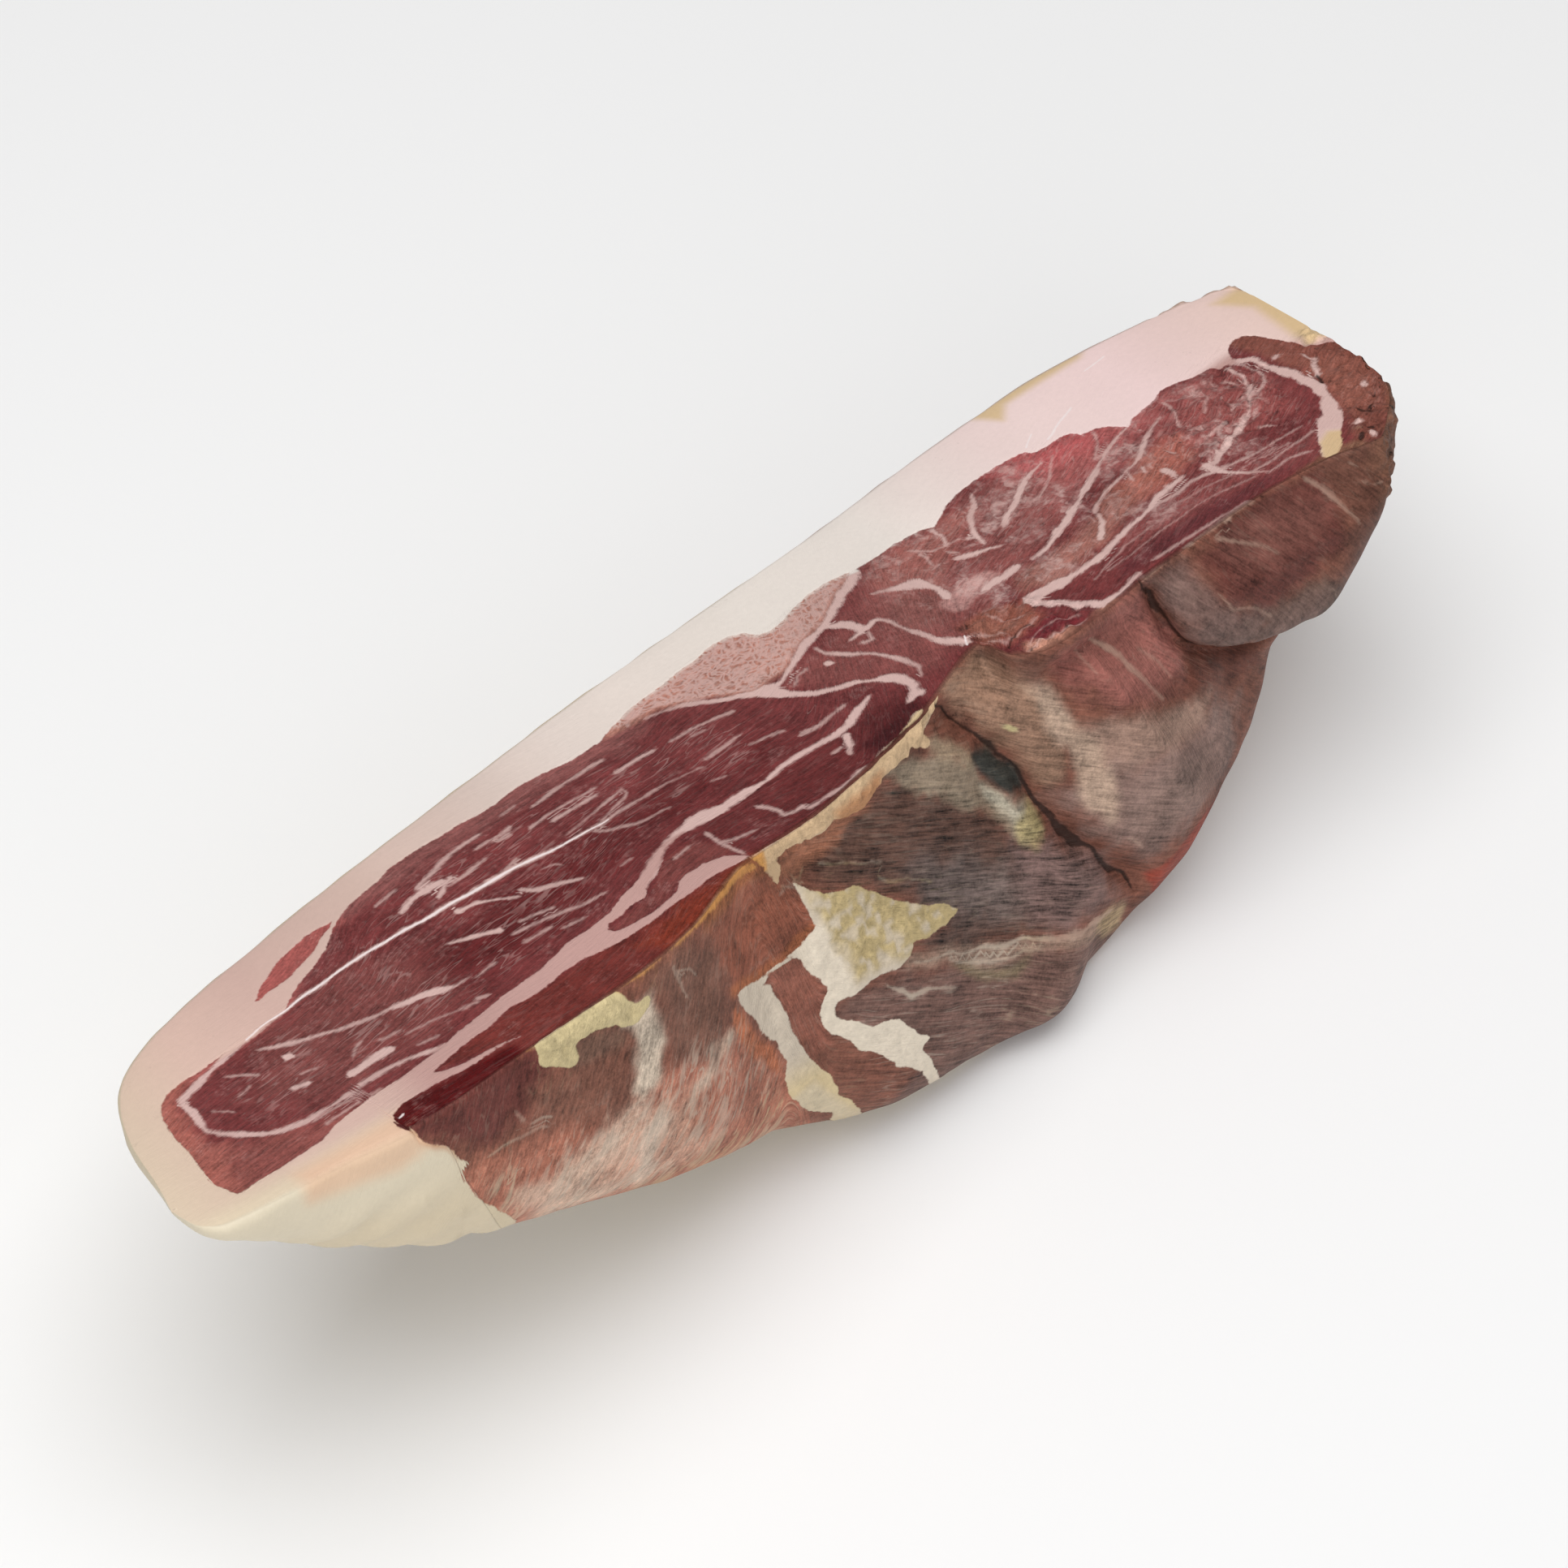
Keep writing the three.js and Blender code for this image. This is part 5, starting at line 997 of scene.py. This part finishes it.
def sidePaint(x, g, xd, gd, uneven):
    # The paint of the inner side and round to the back at (x, g), made like the face's. Fat is the layer
    # round the outside and the pale outlines. The fat's colours are laid over each other in order, and
    # the fibres of the three parts are mixed by how far on a point is.
    looks = sideLooks
    pale = [insideOf(outline, xd, gd) for outline in (sidePale, sideCurl, sideRidgeFat)]
    outer = insideOf(sideFat, xd, gd)
    made = {"fat": np.maximum(outer, np.max(pale, axis=0) + uneven * looks["unevenPale"])}
    made["veinOff"], half = onLines(sideVeins, xd, gd, looks["pastLines"])
    made["veinHalf"] = half * np.where(half > 0, looks["veins"], 1)
    made["cleftShadeOff"], made["cleftShadeHalf"] = onLines(shadedClefts, xd, gd, looks["pastLines"])
    made["gleamHalf"] = -0.8
    mauve, lobe = (within(sidePatches[key], x, g, -3, 3) for key in ("mauve", "lobe"))
    streaky = np.maximum(within(sidePatches["streaky"], x, g, -3, 6), looks["mauveStreaks"] * mauve)
    made["streaky"] = np.maximum(streaky, looks["streaks"])
    made["fibrous"] = looks["fibrous"] + looks["lobeFibrous"] * lobe + looks["mauveFibrous"] * mauve
    base = np.broadcast_to(linear(tones["inner"]), x.shape + (3,)).copy()
    made["meatTone"] = paintZones(base, sideZones, xd, gd, uneven)
    made["wet"] = looks["wet"]

    inLean = within(sidePatches["inLean"], x, g, -3, 0)
    low = smoothStep(g, *looks["lowFrom"]) * (1 - smoothStep(g, *looks["lowUntil"]))
    tone = np.broadcast_to(linear(tones["fat"]), x.shape + (3,)).copy()
    tone = laid(tone, "fatLow", low * looks["low"])
    tone = laid(tone, "fatUnder", smoothStep(g, *looks["underFrom"]) * looks["under"])
    tone = laid(tone, "inMeat", inLean)
    lines = smoothStep(x, *looks["linesFrom"]) + smoothStep(x, *looks["leftOf"]) * inLean
    tone = laid(tone, "thinLines", lines)
    band = inLean * smoothStep(g, *looks["bandFrom"]) * (1 - smoothStep(x, *looks["bandUntil"]))
    tone = laid(tone, "lowBand", band)
    yellow = smoothStep(insideOf(sidePatches["curl"], x, g) + uneven, -2, 2)
    yellow = np.maximum(yellow, smoothStep(insideOf(sidePatches["bone"], x, g) + uneven * 2, -2, 3))
    spotted = looks["spots"] * smoothStep(spots[onSide], *looks["spotsOver"])
    yellow *= 1 - spotted * smoothStep(x, *looks["spotsFrom"])
    curl = smoothStep(x, *looks["curlUntil"])[:, None]
    tone = mix(tone, mix(linear(tones["bone"]), linear(tones["curl"]), curl), yellow[:, None])
    tone = laid(tone, "ridge", within(sideRidgeFat, x, g, -2, 0))
    tone = laid(tone, "white", within(sidePatches["white"], x, g, -2, 2) * (1 - yellow) * inLean)
    edge = bell(outer, looks["orangeReach"]) * smoothStep(g, *looks["orangeFrom"])
    edge = edge * (1 - smoothStep(g, *looks["orangeUntil"]))
    orange = np.maximum(within(sidePatches["orange"], x, g, -2, 1), edge)
    tone = laid(tone, "orange", orange * looks["orange"])
    crustEdge = within(sidePatches["crustEdge"], x, g, -0.5, 0.5)
    tone = laid(tone, "crustEdge", crustEdge * (1 - smoothStep(pale[1], *looks["crustUntil"])))
    tone = laid(tone, "flush", within(sidePatches["flush"], x, g, -3, 1) * looks["flush"])
    dropX, dropG = looks["dropAt"]
    made["fatTone"] = laid(tone, "drop", bell(np.hypot(x - dropX, g - dropG), looks["dropReach"]))

    fields = []
    for (fromX, fromG), along, across, drawnOut in sideFibres:
        dx, dg = x - fromX, g - fromG
        run = (dx * along[0] + dg * along[1]) * drawnOut
        fields.append(np.stack([run, dx * across[0] + dg * across[1]], -1))
    fibres = mix(fields[0], fields[1], smoothStep(x, *looks["lobeFrom"])[:, None])
    toEnd = smoothStep(x - g * looks["endSlant"], *looks["endFrom"])[:, None]
    fibres = mix(fibres, fields[2], toEnd)
    made["grain"] = np.concatenate([fibres, looks["grainInto"] * g[:, None]], axis=1)

    onPale = np.maximum(insideOf(sidePale, x, g), insideOf(sideCurl, x, g))
    onPale = smoothStep(onPale, *looks["crumbPale"])
    made["crumb"] = np.max([
        smoothStep(x, *looks["crumbFrom"]), onPale * (looks["crumbWhite"] + looks["crumbYellow"] * yellow),
        looks["crumbTan"] * within(sidePatches["tan"], x, g, -2, 2),
        within(sidePatches["ridge"], x, g, -2, 1) * looks["crumbRidge"],
    ], axis=0)
    return made


# How uneven every painted border is, in mm; the inner side's are more ragged than the knife's cut.
wander = {"size": 5.0, "by": 0.45, "fine": 1.4, "fineBy": 0.12, "face": 1.0, "side": 1.9}
wobble = softNoise(skin, 4.0, 3) * 0.7 + softNoise(skin, 1.5, 4) * 0.45
driftX, driftY = (
    softNoise(skin, wander["size"], seed) * wander["by"]
    + softNoise(skin, wander["fine"], seed + 1) * wander["fineBy"] for seed in (5, 7)
)
ragged = np.where(onFace, wander["face"], wander["side"])
driftX = driftX * ragged
driftY = driftY * ragged
spots = softNoise(skin, sideLooks["spotSize"], 21)
onSide = ~onFace
numbers = (
    "fat", "veinOff", "veinHalf", "cleftShadeOff", "cleftShadeHalf", "gleamOff", "gleamHalf", "wet", "crumb",
    "network", "streaky", "fibrous",
)
paint = {key: np.zeros(q.shape) for key in numbers}
paint.update({key: np.zeros(q.shape + (3,)) for key in ("meatTone", "fatTone", "grain")})
for here, down, painted in ((onFace, cGrid, facePaint), (onSide, gGrid, sidePaint)):
    x, y = xGrid[here], down[here]
    made = painted(x, y, x + driftX[here], y + driftY[here], wobble[here])
    for key, values in made.items():
        paint[key][here] = values
print("paint, fat over", round(float((paint["fat"] > 0).mean()), 2), "of the skin's points")

# Fine relief along the normal: crumbs, a slow waviness of the knife's cut, fat standing proud of the lean
# and the seams of the inner side sunk a little.
relief = {
    "crumb": 0.8, "crumbSize": 1.7, "coarse": 0.8, "coarser": 2.4,
    "waves": 0.18, "waveSize": 16.0,
    "proud": 0.12, "dents": 0.35, "dentSize": 6.0, "edgeFade": 2.5,
    "shadedClefts": 0.5, "fold": 0.7, "tipFade": 6.0,
    "foldLine": [2, (33, 19), (40, 22.5), (45, 26.5), (49, 31), (53, 37), (56, 46)],
}
foldOff, foldHalf = onLines([relief["foldLine"]], xGrid[onSide], gGrid[onSide], -3.0)
edgeFade = smoothStep(np.abs(q), 0.0, relief["edgeFade"])
edgeFade = edgeFade * smoothStep(np.abs(totalQ[:, None] - q), 0, relief["edgeFade"])
height = relief["waves"] * softNoise(skin, relief["waveSize"], 11)
height = height + relief["crumb"] * paint["crumb"] * softNoise(skin, relief["crumbSize"], 12)
coarse = softNoise(skin, relief["crumbSize"] * relief["coarser"], 13)
height += relief["crumb"] * relief["coarse"] * paint["crumb"] * coarse
height += relief["proud"] * smoothStep(paint["fat"], -0.5, 0.5) * edgeFade
height += np.where(onSide, relief["dents"] * softNoise(skin, relief["dentSize"], 14) * edgeFade, 0)
# the clefts and holes painted with shade are also sunk a little
height -= relief["shadedClefts"] * smoothStep(paint["cleftShadeHalf"] - np.abs(paint["cleftShadeOff"]), -1, 0.3)
height[onSide] -= relief["fold"] * smoothStep(foldHalf - np.abs(foldOff), -3, 2)
height *= smoothStep(xGrid, 0, relief["tipFade"])
skin = skin + normal * height[..., None]
skin[..., 2] = np.maximum(skin[..., 2], 0)


cleaning = {"merge": 2e-6, "degenerate": 1e-7}  # in metres: points this close are one, edges this short go


def closedMesh(name, outside, inside, parts):
    # A closed piece: rings of outer points followed by the hidden ones, stitched from station to station,
    # the last section closed by one flat face and the coinciding points of the poles merged. The paint
    # goes along as attributes of the points; hidden points take the last outer one's.
    ring = np.concatenate([outside, inside], axis=1)
    count, around = ring.shape[:2]
    index = np.arange(count * around).reshape(count, around)
    after = np.roll(index, -1, axis=1)
    quads = np.stack([index[:-1], after[:-1], after[1:], index[1:]], -1).reshape(-1, 4)
    mesh = bpy.data.meshes.new(name)
    mesh.from_pydata(ring.reshape(-1, 3) / 1000, [], quads.tolist() + [index[-1].tolist()])
    onBorder = np.zeros(ring.shape[:2])
    onBorder[:, [0, outside.shape[1] - 1]] = 1
    onBorder[-1] = 1
    mesh.attributes.new("border", "FLOAT", "POINT").data.foreach_set("value", onBorder.ravel())
    for key, values in parts.items():
        hidden = np.repeat(values[:, -1:], inside.shape[1], axis=1)
        values = np.concatenate([values, hidden], axis=1).reshape((-1,) + values.shape[2:])
        if key.endswith("Tone"):
            values = np.concatenate([values, np.ones((len(values), 1))], axis=1)
            mesh.attributes.new(key, "FLOAT_COLOR", "POINT").data.foreach_set("color", values.ravel())
        elif values.ndim == 2:
            mesh.attributes.new(key, "FLOAT_VECTOR", "POINT").data.foreach_set("vector", values.ravel())
        else:
            mesh.attributes.new(key, "FLOAT", "POINT").data.foreach_set("value", values)
    work = bmesh.new()
    work.from_mesh(mesh)
    bmesh.ops.remove_doubles(work, verts=work.verts, dist=cleaning["merge"])
    bmesh.ops.dissolve_degenerate(work, dist=cleaning["degenerate"], edges=work.edges)
    bmesh.ops.triangulate(work, faces=[face for face in work.faces if len(face.verts) > 4])
    print(name, len(work.faces), "faces,", sum(not edge.is_manifold for edge in work.edges), "open edges")
    work.to_mesh(mesh)
    work.free()
    mesh.polygons.foreach_set("use_smooth", np.ones(len(mesh.polygons), bool))
    # the edges along the two borders and round the last section are sharp
    ends = np.zeros(2 * len(mesh.edges), int)
    mesh.edges.foreach_get("vertices", ends)
    onBorder = np.zeros(len(mesh.vertices))
    mesh.attributes["border"].data.foreach_get("value", onBorder)
    sharp = (onBorder[ends.reshape(-1, 2)] > 0.5).all(1)
    mesh.attributes.new("sharp_edge", "BOOLEAN", "EDGE").data.foreach_set("value", sharp)
    piece = bpy.data.objects.new(name, mesh)
    bpy.context.collection.objects.link(piece)
    return piece


first = len(nearEnd)
leanPaint = {key: values[first:, :leanRows + 1] for key, values in paint.items()}
fatPaint = {key: values[:, leanRows:] for key, values in paint.items()}
leanSeam = seamRows(leanX, border["rest"], 0)
fatSeam = seamRows(allX, border["rest"] - border["gap"], border["gap"])[:, ::-1]
lean = closedMesh("leanMeat", skin[first:, :leanRows + 1], leanSeam, leanPaint)
fat = closedMesh("fatCap", skin[:, leanRows:], fatSeam, fatPaint)


def addNode(tree, kind, inputs=None, **settings):
    # A node of this kind with its settings; an input is linked where a socket is given, else set.
    node = tree.nodes.new(kind)
    for name, value in settings.items():
        setattr(node, name, value)
    for key, value in (inputs or {}).items():
        if isinstance(value, bpy.types.NodeSocket):
            tree.links.new(value, node.inputs[key])
        else:
            node.inputs[key].default_value = value
    return node


# Noises over the piece, per metre, and along the painted fibres: scale, detail, roughness, distortion.
placeNoises = {
    "fine": (900, 3, 0.6, 0), "specks": (2100, 1, 0.5, 0), "blotch": (90, 3, 0.6, 0),
    "broad": (28, 2, 0.5, 0), "patches": (140, 2, 0.5, 0), "lumps": (420, 3, 0.6, 0.6),
    "holes": (330, 3, 0.6, 0),
}
fibreNoises = {
    "fibre": (1.1, 3, 0.6, 0.4), "fibreFine": (2.4, 2, 0.6, 0), "bands": (0.45, 3, 0.6, 0.5),
    "strands": (0.36, 2, 0.5, 0.6), "threads": (0.75, 1, 0.5, 0.4),
}
cloudNoise = (75, 5, 0.66, 0.4)
bending = {"scale": 260.0, "by": 0.008, "middle": (0.5, 0.5, 0.5)}
cellScale = 500.0


def curedMeatGroup():
    # The look of the cut and pressed meat, from the paint of the pieces: the fat where its painted
    # distance is above 0 after a fine noise, streaks of fat along the grain where the noise is high, a
    # network and clouds in the marbled muscles, and meat whose tone the grain and a mottling vary.
    group = bpy.data.node_groups.new("curedMeat", "ShaderNodeTree")
    sockets = group.interface
    for name, value in (
        ("Edge Softness", 0.2), ("Streak Amount", 0.5), ("Grain Contrast", 0.3), ("Mottle", 0.3),
        ("Fat Mottle", 0.1), ("Dry Roughness", 0.6), ("Wet Roughness", 0.3),
    ):
        sockets.new_socket(name, in_out="INPUT", socket_type="NodeSocketFloat").default_value = value
    sockets.new_socket("Color", in_out="OUTPUT", socket_type="NodeSocketColor")
    sockets.new_socket("Roughness", in_out="OUTPUT", socket_type="NodeSocketFloat")
    sockets.new_socket("Height", in_out="OUTPUT", socket_type="NodeSocketFloat")
    given = addNode(group, "NodeGroupInput").outputs
    result = addNode(group, "NodeGroupOutput")
    painted = {key: addNode(group, "ShaderNodeAttribute", attribute_name=key) for key in paint}
    value = {key: node.outputs["Fac"] for key, node in painted.items()}
    place = addNode(group, "ShaderNodeTexCoord").outputs["Object"]

    def maths(operation, *values, clamp=False):
        # one operation over the values, kept from 0 to 1 if asked
        inputs = dict(enumerate(values))
        return addNode(group, "ShaderNodeMath", inputs, operation=operation, use_clamp=clamp).outputs[0]

    def plus(first, *others):
        # the sum, from the left
        for other in others:
            first = maths("ADD", first, other)
        return first

    def times(first, *others):
        # the product, from the left
        for other in others:
            first = maths("MULTIPLY", first, other)
        return first

    def minus(a, b):
        # a - b
        return maths("SUBTRACT", a, b)

    def either(a, b):
        # the greater of two
        return maths("MAXIMUM", a, b)

    def step(of, low, high, start=0.0, stop=1.0):
        # the smooth step from low to high, put out from start to stop
        inputs = {0: of, 1: low, 2: high, 3: start, 4: stop}
        return addNode(group, "ShaderNodeMapRange", inputs, interpolation_type="SMOOTHSTEP").outputs[0]

    def noise(vector, scale, detail, rough, distortion):
        # fractal noise from 0 to 1
        inputs = {"Vector": vector, "Scale": scale, "Detail": detail}
        inputs.update({"Roughness": rough, "Distortion": distortion})
        return addNode(group, "ShaderNodeTexNoise", inputs).outputs["Fac"]

    def swing(name):
        # a noise about 0
        return minus(noises[name], 0.5)

    def contour(name, width):
        # a thin line where the noise passes its middle
        return step(maths("ABSOLUTE", swing(name)), width, width * 0.3)

    def vector(operation, inputs):
        # one operation on vectors
        return addNode(group, "ShaderNodeVectorMath", inputs, operation=operation).outputs[0]

    def over(color, share, top):
        # the colour with the top one mixed in by the share
        mixed = addNode(group, "ShaderNodeMix", {0: share, 6: color, 7: top}, data_type="RGBA")
        return mixed.outputs[2]

    def onLine(name, low, high, frayed):
        # a painted line: the step of its uneven half width less the distance from it
        inside = minus(times(value[name + "Half"], uneven), maths("ABSOLUTE", value[name + "Off"]))
        return step(plus(inside, frayed), low, high)

    grain = painted["grain"].outputs["Vector"]
    noises = {key: noise(place, *settings) for key, settings in placeNoises.items()}
    noises.update({key: noise(grain, *settings) for key, settings in fibreNoises.items()})

    # fat by its painted distance, and lines of fat, both with ragged borders
    ragged = times(swing("fine"), 0.8)
    loose = times(swing("patches"), times(value["crumb"], 3.0))
    softness = given["Edge Softness"]
    edge = step(plus(value["fat"], ragged, loose), times(softness, -1.0), softness)
    uneven = step(noises["patches"], 0.3, 0.7, 0.45, 1.35)
    feathered = plus(ragged, times(swing("fibreFine"), 0.9))
    line = times(onLine("vein", -0.55, 0.4, feathered), step(value["veinHalf"], 0.1, 0.8, 0.4, 0.93))
    line = times(line, step(value["wet"], 0.35, 1.0, 0.65, 1.0))

    # fine streaks along the fibres
    streak = times(contour("strands", 0.03), step(noises["patches"], 0.42, 0.6))
    thin = times(contour("threads", 0.03), step(noises["blotch"], 0.42, 0.6))
    band = times(step(noises["bands"], 0.46, 0.62), step(value["streaky"], 0.6, 1.0))
    streak = either(either(streak, times(thin, 0.6)), band)
    streak = times(streak, value["streaky"], given["Streak Amount"])

    # the network of the marbled muscle, between the cells of a bent pattern, and the clouds of the others
    bent = addNode(group, "ShaderNodeTexNoise", {"Vector": place, "Scale": bending["scale"], "Detail": 2.0})
    bent = vector("SUBTRACT", {0: bent.outputs["Color"], 1: bending["middle"]})
    bent = vector("ADD", {0: place, 1: vector("SCALE", {0: bent, "Scale": bending["by"]})})
    cells = {"Vector": bent, "Scale": cellScale, "Randomness": 1.0}
    cells = addNode(group, "ShaderNodeTexVoronoi", cells, feature="DISTANCE_TO_EDGE").outputs["Distance"]
    web = times(step(cells, 0.38, 0.02), step(value["network"], 0.5, 1.0, 0.0, 0.62))
    clouds = step(noise(bent, *cloudNoise), 0.46, 0.64)
    clouds = times(clouds, step(noises["lumps"], 0.36, 0.62, 0.12, 0.6))
    web = either(web, times(clouds, step(value["network"], 0.0, 0.3)))
    mask = maths("MAXIMUM", either(edge, line), either(streak, web), clamp=True)

    # meat: its tone varied by the grain, a mottling, fibres and specks, with painted shade in pits where it
    # is crumbly; the inner side is more mottled than the knife's cut
    grainShade = times(step(noises["fibre"], 0.32, 0.68, -1.0, 1.0), given["Grain Contrast"])
    mottleShade = times(step(noises["blotch"], 0.3, 0.7, -1.0, 1.0), given["Mottle"])
    fibres = times(plus(swing("fibreFine"), swing("fibre")), times(value["fibrous"], 1.7))
    shade = plus(grainShade, mottleShade, 1.0, fibres)
    shade = plus(shade, times(swing("fine"), 0.7), times(swing("specks"), 0.7))
    dry = step(value["wet"], 1.0, 0.35)
    shade = plus(shade, times(plus(swing("lumps"), swing("patches")), times(dry, 0.75)))
    pitShade = times(step(noises["holes"], 0.42, 0.3), times(value["crumb"], 0.5))
    meat = vector("SCALE", {0: painted["meatTone"].outputs["Color"], "Scale": minus(shade, pitShade)})

    # fat: its tone with a broad and a fine variation; where it is crumbly, lumps painted lighter and darker
    # as their light and shade, and painted shade in the pits
    shade = plus(times(swing("broad"), given["Fat Mottle"], 2.0), 1.0)
    shade = plus(shade, times(swing("fine"), plus(times(value["crumb"], 0.7), 0.12)))
    shade = plus(shade, times(swing("lumps"), times(value["crumb"], 1.1)))
    shade = minus(shade, times(pitShade, 0.4))
    fatty = vector("SCALE", {0: painted["fatTone"].outputs["Color"], "Scale": shade})

    # both, and over them painted shade as dark lines in the clefts and holes, and painted highlights as
    # bright lines on the creases and glints
    dark = times(onLine("cleftShade", -0.35, 0.25, ragged), 0.85)
    color = over(over(meat, mask, fatty), dark, (*linear(tones["cleftShade"]), 1))
    # painted highlights: the bright lines of the creases and glints
    gleam = minus(value["gleamHalf"], maths("ABSOLUTE", value["gleamOff"]))
    gleam = step(plus(gleam, times(ragged, 0.35)), -0.22, 0.16, 0.0, 0.9)
    color = over(color, gleam, (*linear(tones["gleam"]), 1))
    group.links.new(color, result.inputs["Color"])

    wet = plus(value["wet"], times(swing("blotch"), 0.5))
    rough = {0: wet, 3: given["Dry Roughness"], 4: given["Wet Roughness"]}
    group.links.new(addNode(group, "ShaderNodeMapRange", rough).outputs[0], result.inputs["Roughness"])

    bump = plus(times(noises["fibre"], 0.5), times(noises["fibreFine"], value["fibrous"]))
    bump = plus(bump, times(noises["fine"], plus(value["crumb"], 0.12)), times(mask, 0.25))
    group.links.new(bump, result.inputs["Height"])
    return group


def meatMaterial(name, group, looks):
    # The principled shader with the group's colour and roughness, and its height as a bump.
    material = bpy.data.materials.new(name)
    material.use_nodes = True
    tree = material.node_tree
    shader = tree.nodes["Principled BSDF"]
    made = addNode(tree, "ShaderNodeGroup", node_tree=group)
    for key, value in looks["group"].items():
        made.inputs[key].default_value = value
    bump = {"Height": made.outputs["Height"], "Strength": looks["bump"], "Distance": looks["bumpHeight"]}
    bump = addNode(tree, "ShaderNodeBump", bump)
    tree.links.new(made.outputs["Color"], shader.inputs["Base Color"])
    tree.links.new(made.outputs["Roughness"], shader.inputs["Roughness"])
    tree.links.new(bump.outputs["Normal"], shader.inputs["Normal"])
    for key, value in looks["shader"].items():
        shader.inputs[key].default_value = value
    return material


leanLooks = {
    "group": {
        "Edge Softness": 0.22, "Streak Amount": 0.42, "Grain Contrast": 0.12, "Mottle": 0.14,
        "Fat Mottle": 0.12, "Dry Roughness": 0.62, "Wet Roughness": 0.38,
    },
    "bump": 0.7, "bumpHeight": 0.0006,
    "shader": {"Specular IOR Level": 0.12},
}
fatLooks = {
    "group": {
        "Edge Softness": 0.22, "Streak Amount": 0.0, "Grain Contrast": 0.14, "Mottle": 0.12,
        "Fat Mottle": 0.1, "Dry Roughness": 0.55, "Wet Roughness": 0.4,
    },
    "bump": 0.35, "bumpHeight": 0.0004,
    "shader": {"Specular IOR Level": 0.35},
}
curedMeat = curedMeatGroup()
for piece, node, looks in ((lean, "lean_meat", leanLooks), (fat, "fat_cap", fatLooks)):
    piece.data.materials.append(meatMaterial(piece.name, curedMeat, looks))
    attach(piece, "root")
    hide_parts(node)
print("materials")

# The stage: a pale floor, soft light from above and a pale surrounding.
stage = {"floor": (0.88, 0.88, 0.88), "floorRoughness": 0.9, "floorSize": 3.0, "world": 0.28}
lights = [  # name, power in watts, size, place, aimed at
    ("above", 20.0, 1.4, (-0.2, -0.1, 1.5), (0, 0, 0.05)),
    ("front", 8.0, 1.4, (-0.7, -1.3, 0.8), (0, 0, 0.05)),
]
half = stage["floorSize"] / 2
corners = [(-half, -half, 0), (half, -half, 0), (half, half, 0), (-half, half, 0)]
floorMesh = bpy.data.meshes.new("floor")
floorMesh.from_pydata(corners, [], [(0, 1, 2, 3)])
floor = bpy.data.objects.new("floor", floorMesh)
floorMaterial = bpy.data.materials.new("paleFloor")
floorMaterial.use_nodes = True
floorShader = floorMaterial.node_tree.nodes["Principled BSDF"]
floorShader.inputs["Base Color"].default_value = (*stage["floor"], 1)
floorShader.inputs["Roughness"].default_value = stage["floorRoughness"]
floorMesh.materials.append(floorMaterial)
bpy.context.collection.objects.link(floor)
world = bpy.data.worlds.new("paleRoom")
bpy.context.scene.world = world
world.use_nodes = True
world.node_tree.nodes["Background"].inputs["Color"].default_value = (1, 1, 1, 1)
world.node_tree.nodes["Background"].inputs["Strength"].default_value = stage["world"]
for name, power, size, at, aim in lights:
    light = bpy.data.objects.new(name, bpy.data.lights.new(name, "AREA"))
    light.data.energy = power
    light.data.size = size
    light.location = at
    light.rotation_euler = (Vector(at) - Vector(aim)).to_track_quat("Z", "Y").to_euler()
    bpy.context.collection.objects.link(light)
bpy.context.scene.view_settings.view_transform = "Standard"

# The photograph's view: seen from the pointed end's side, well above.
view = {"azimuth": -37, "elevation": 50, "distance": 1.2, "lens": 142, "target": (-0.008, -0.017, 0.08804)}
azimuth = math.radians(view["azimuth"])
elevation = math.radians(view["elevation"])
level = math.cos(elevation)
toCamera = Vector((math.sin(azimuth) * level, -math.cos(azimuth) * level, math.sin(elevation)))
camera = bpy.data.objects.new("camera", bpy.data.cameras.new("camera"))
camera.data.lens = view["lens"]
camera.location = Vector(view["target"]) + toCamera * view["distance"]
camera.rotation_euler = toCamera.to_track_quat("Z", "Y").to_euler()
bpy.context.collection.objects.link(camera)
bpy.context.scene.camera = camera
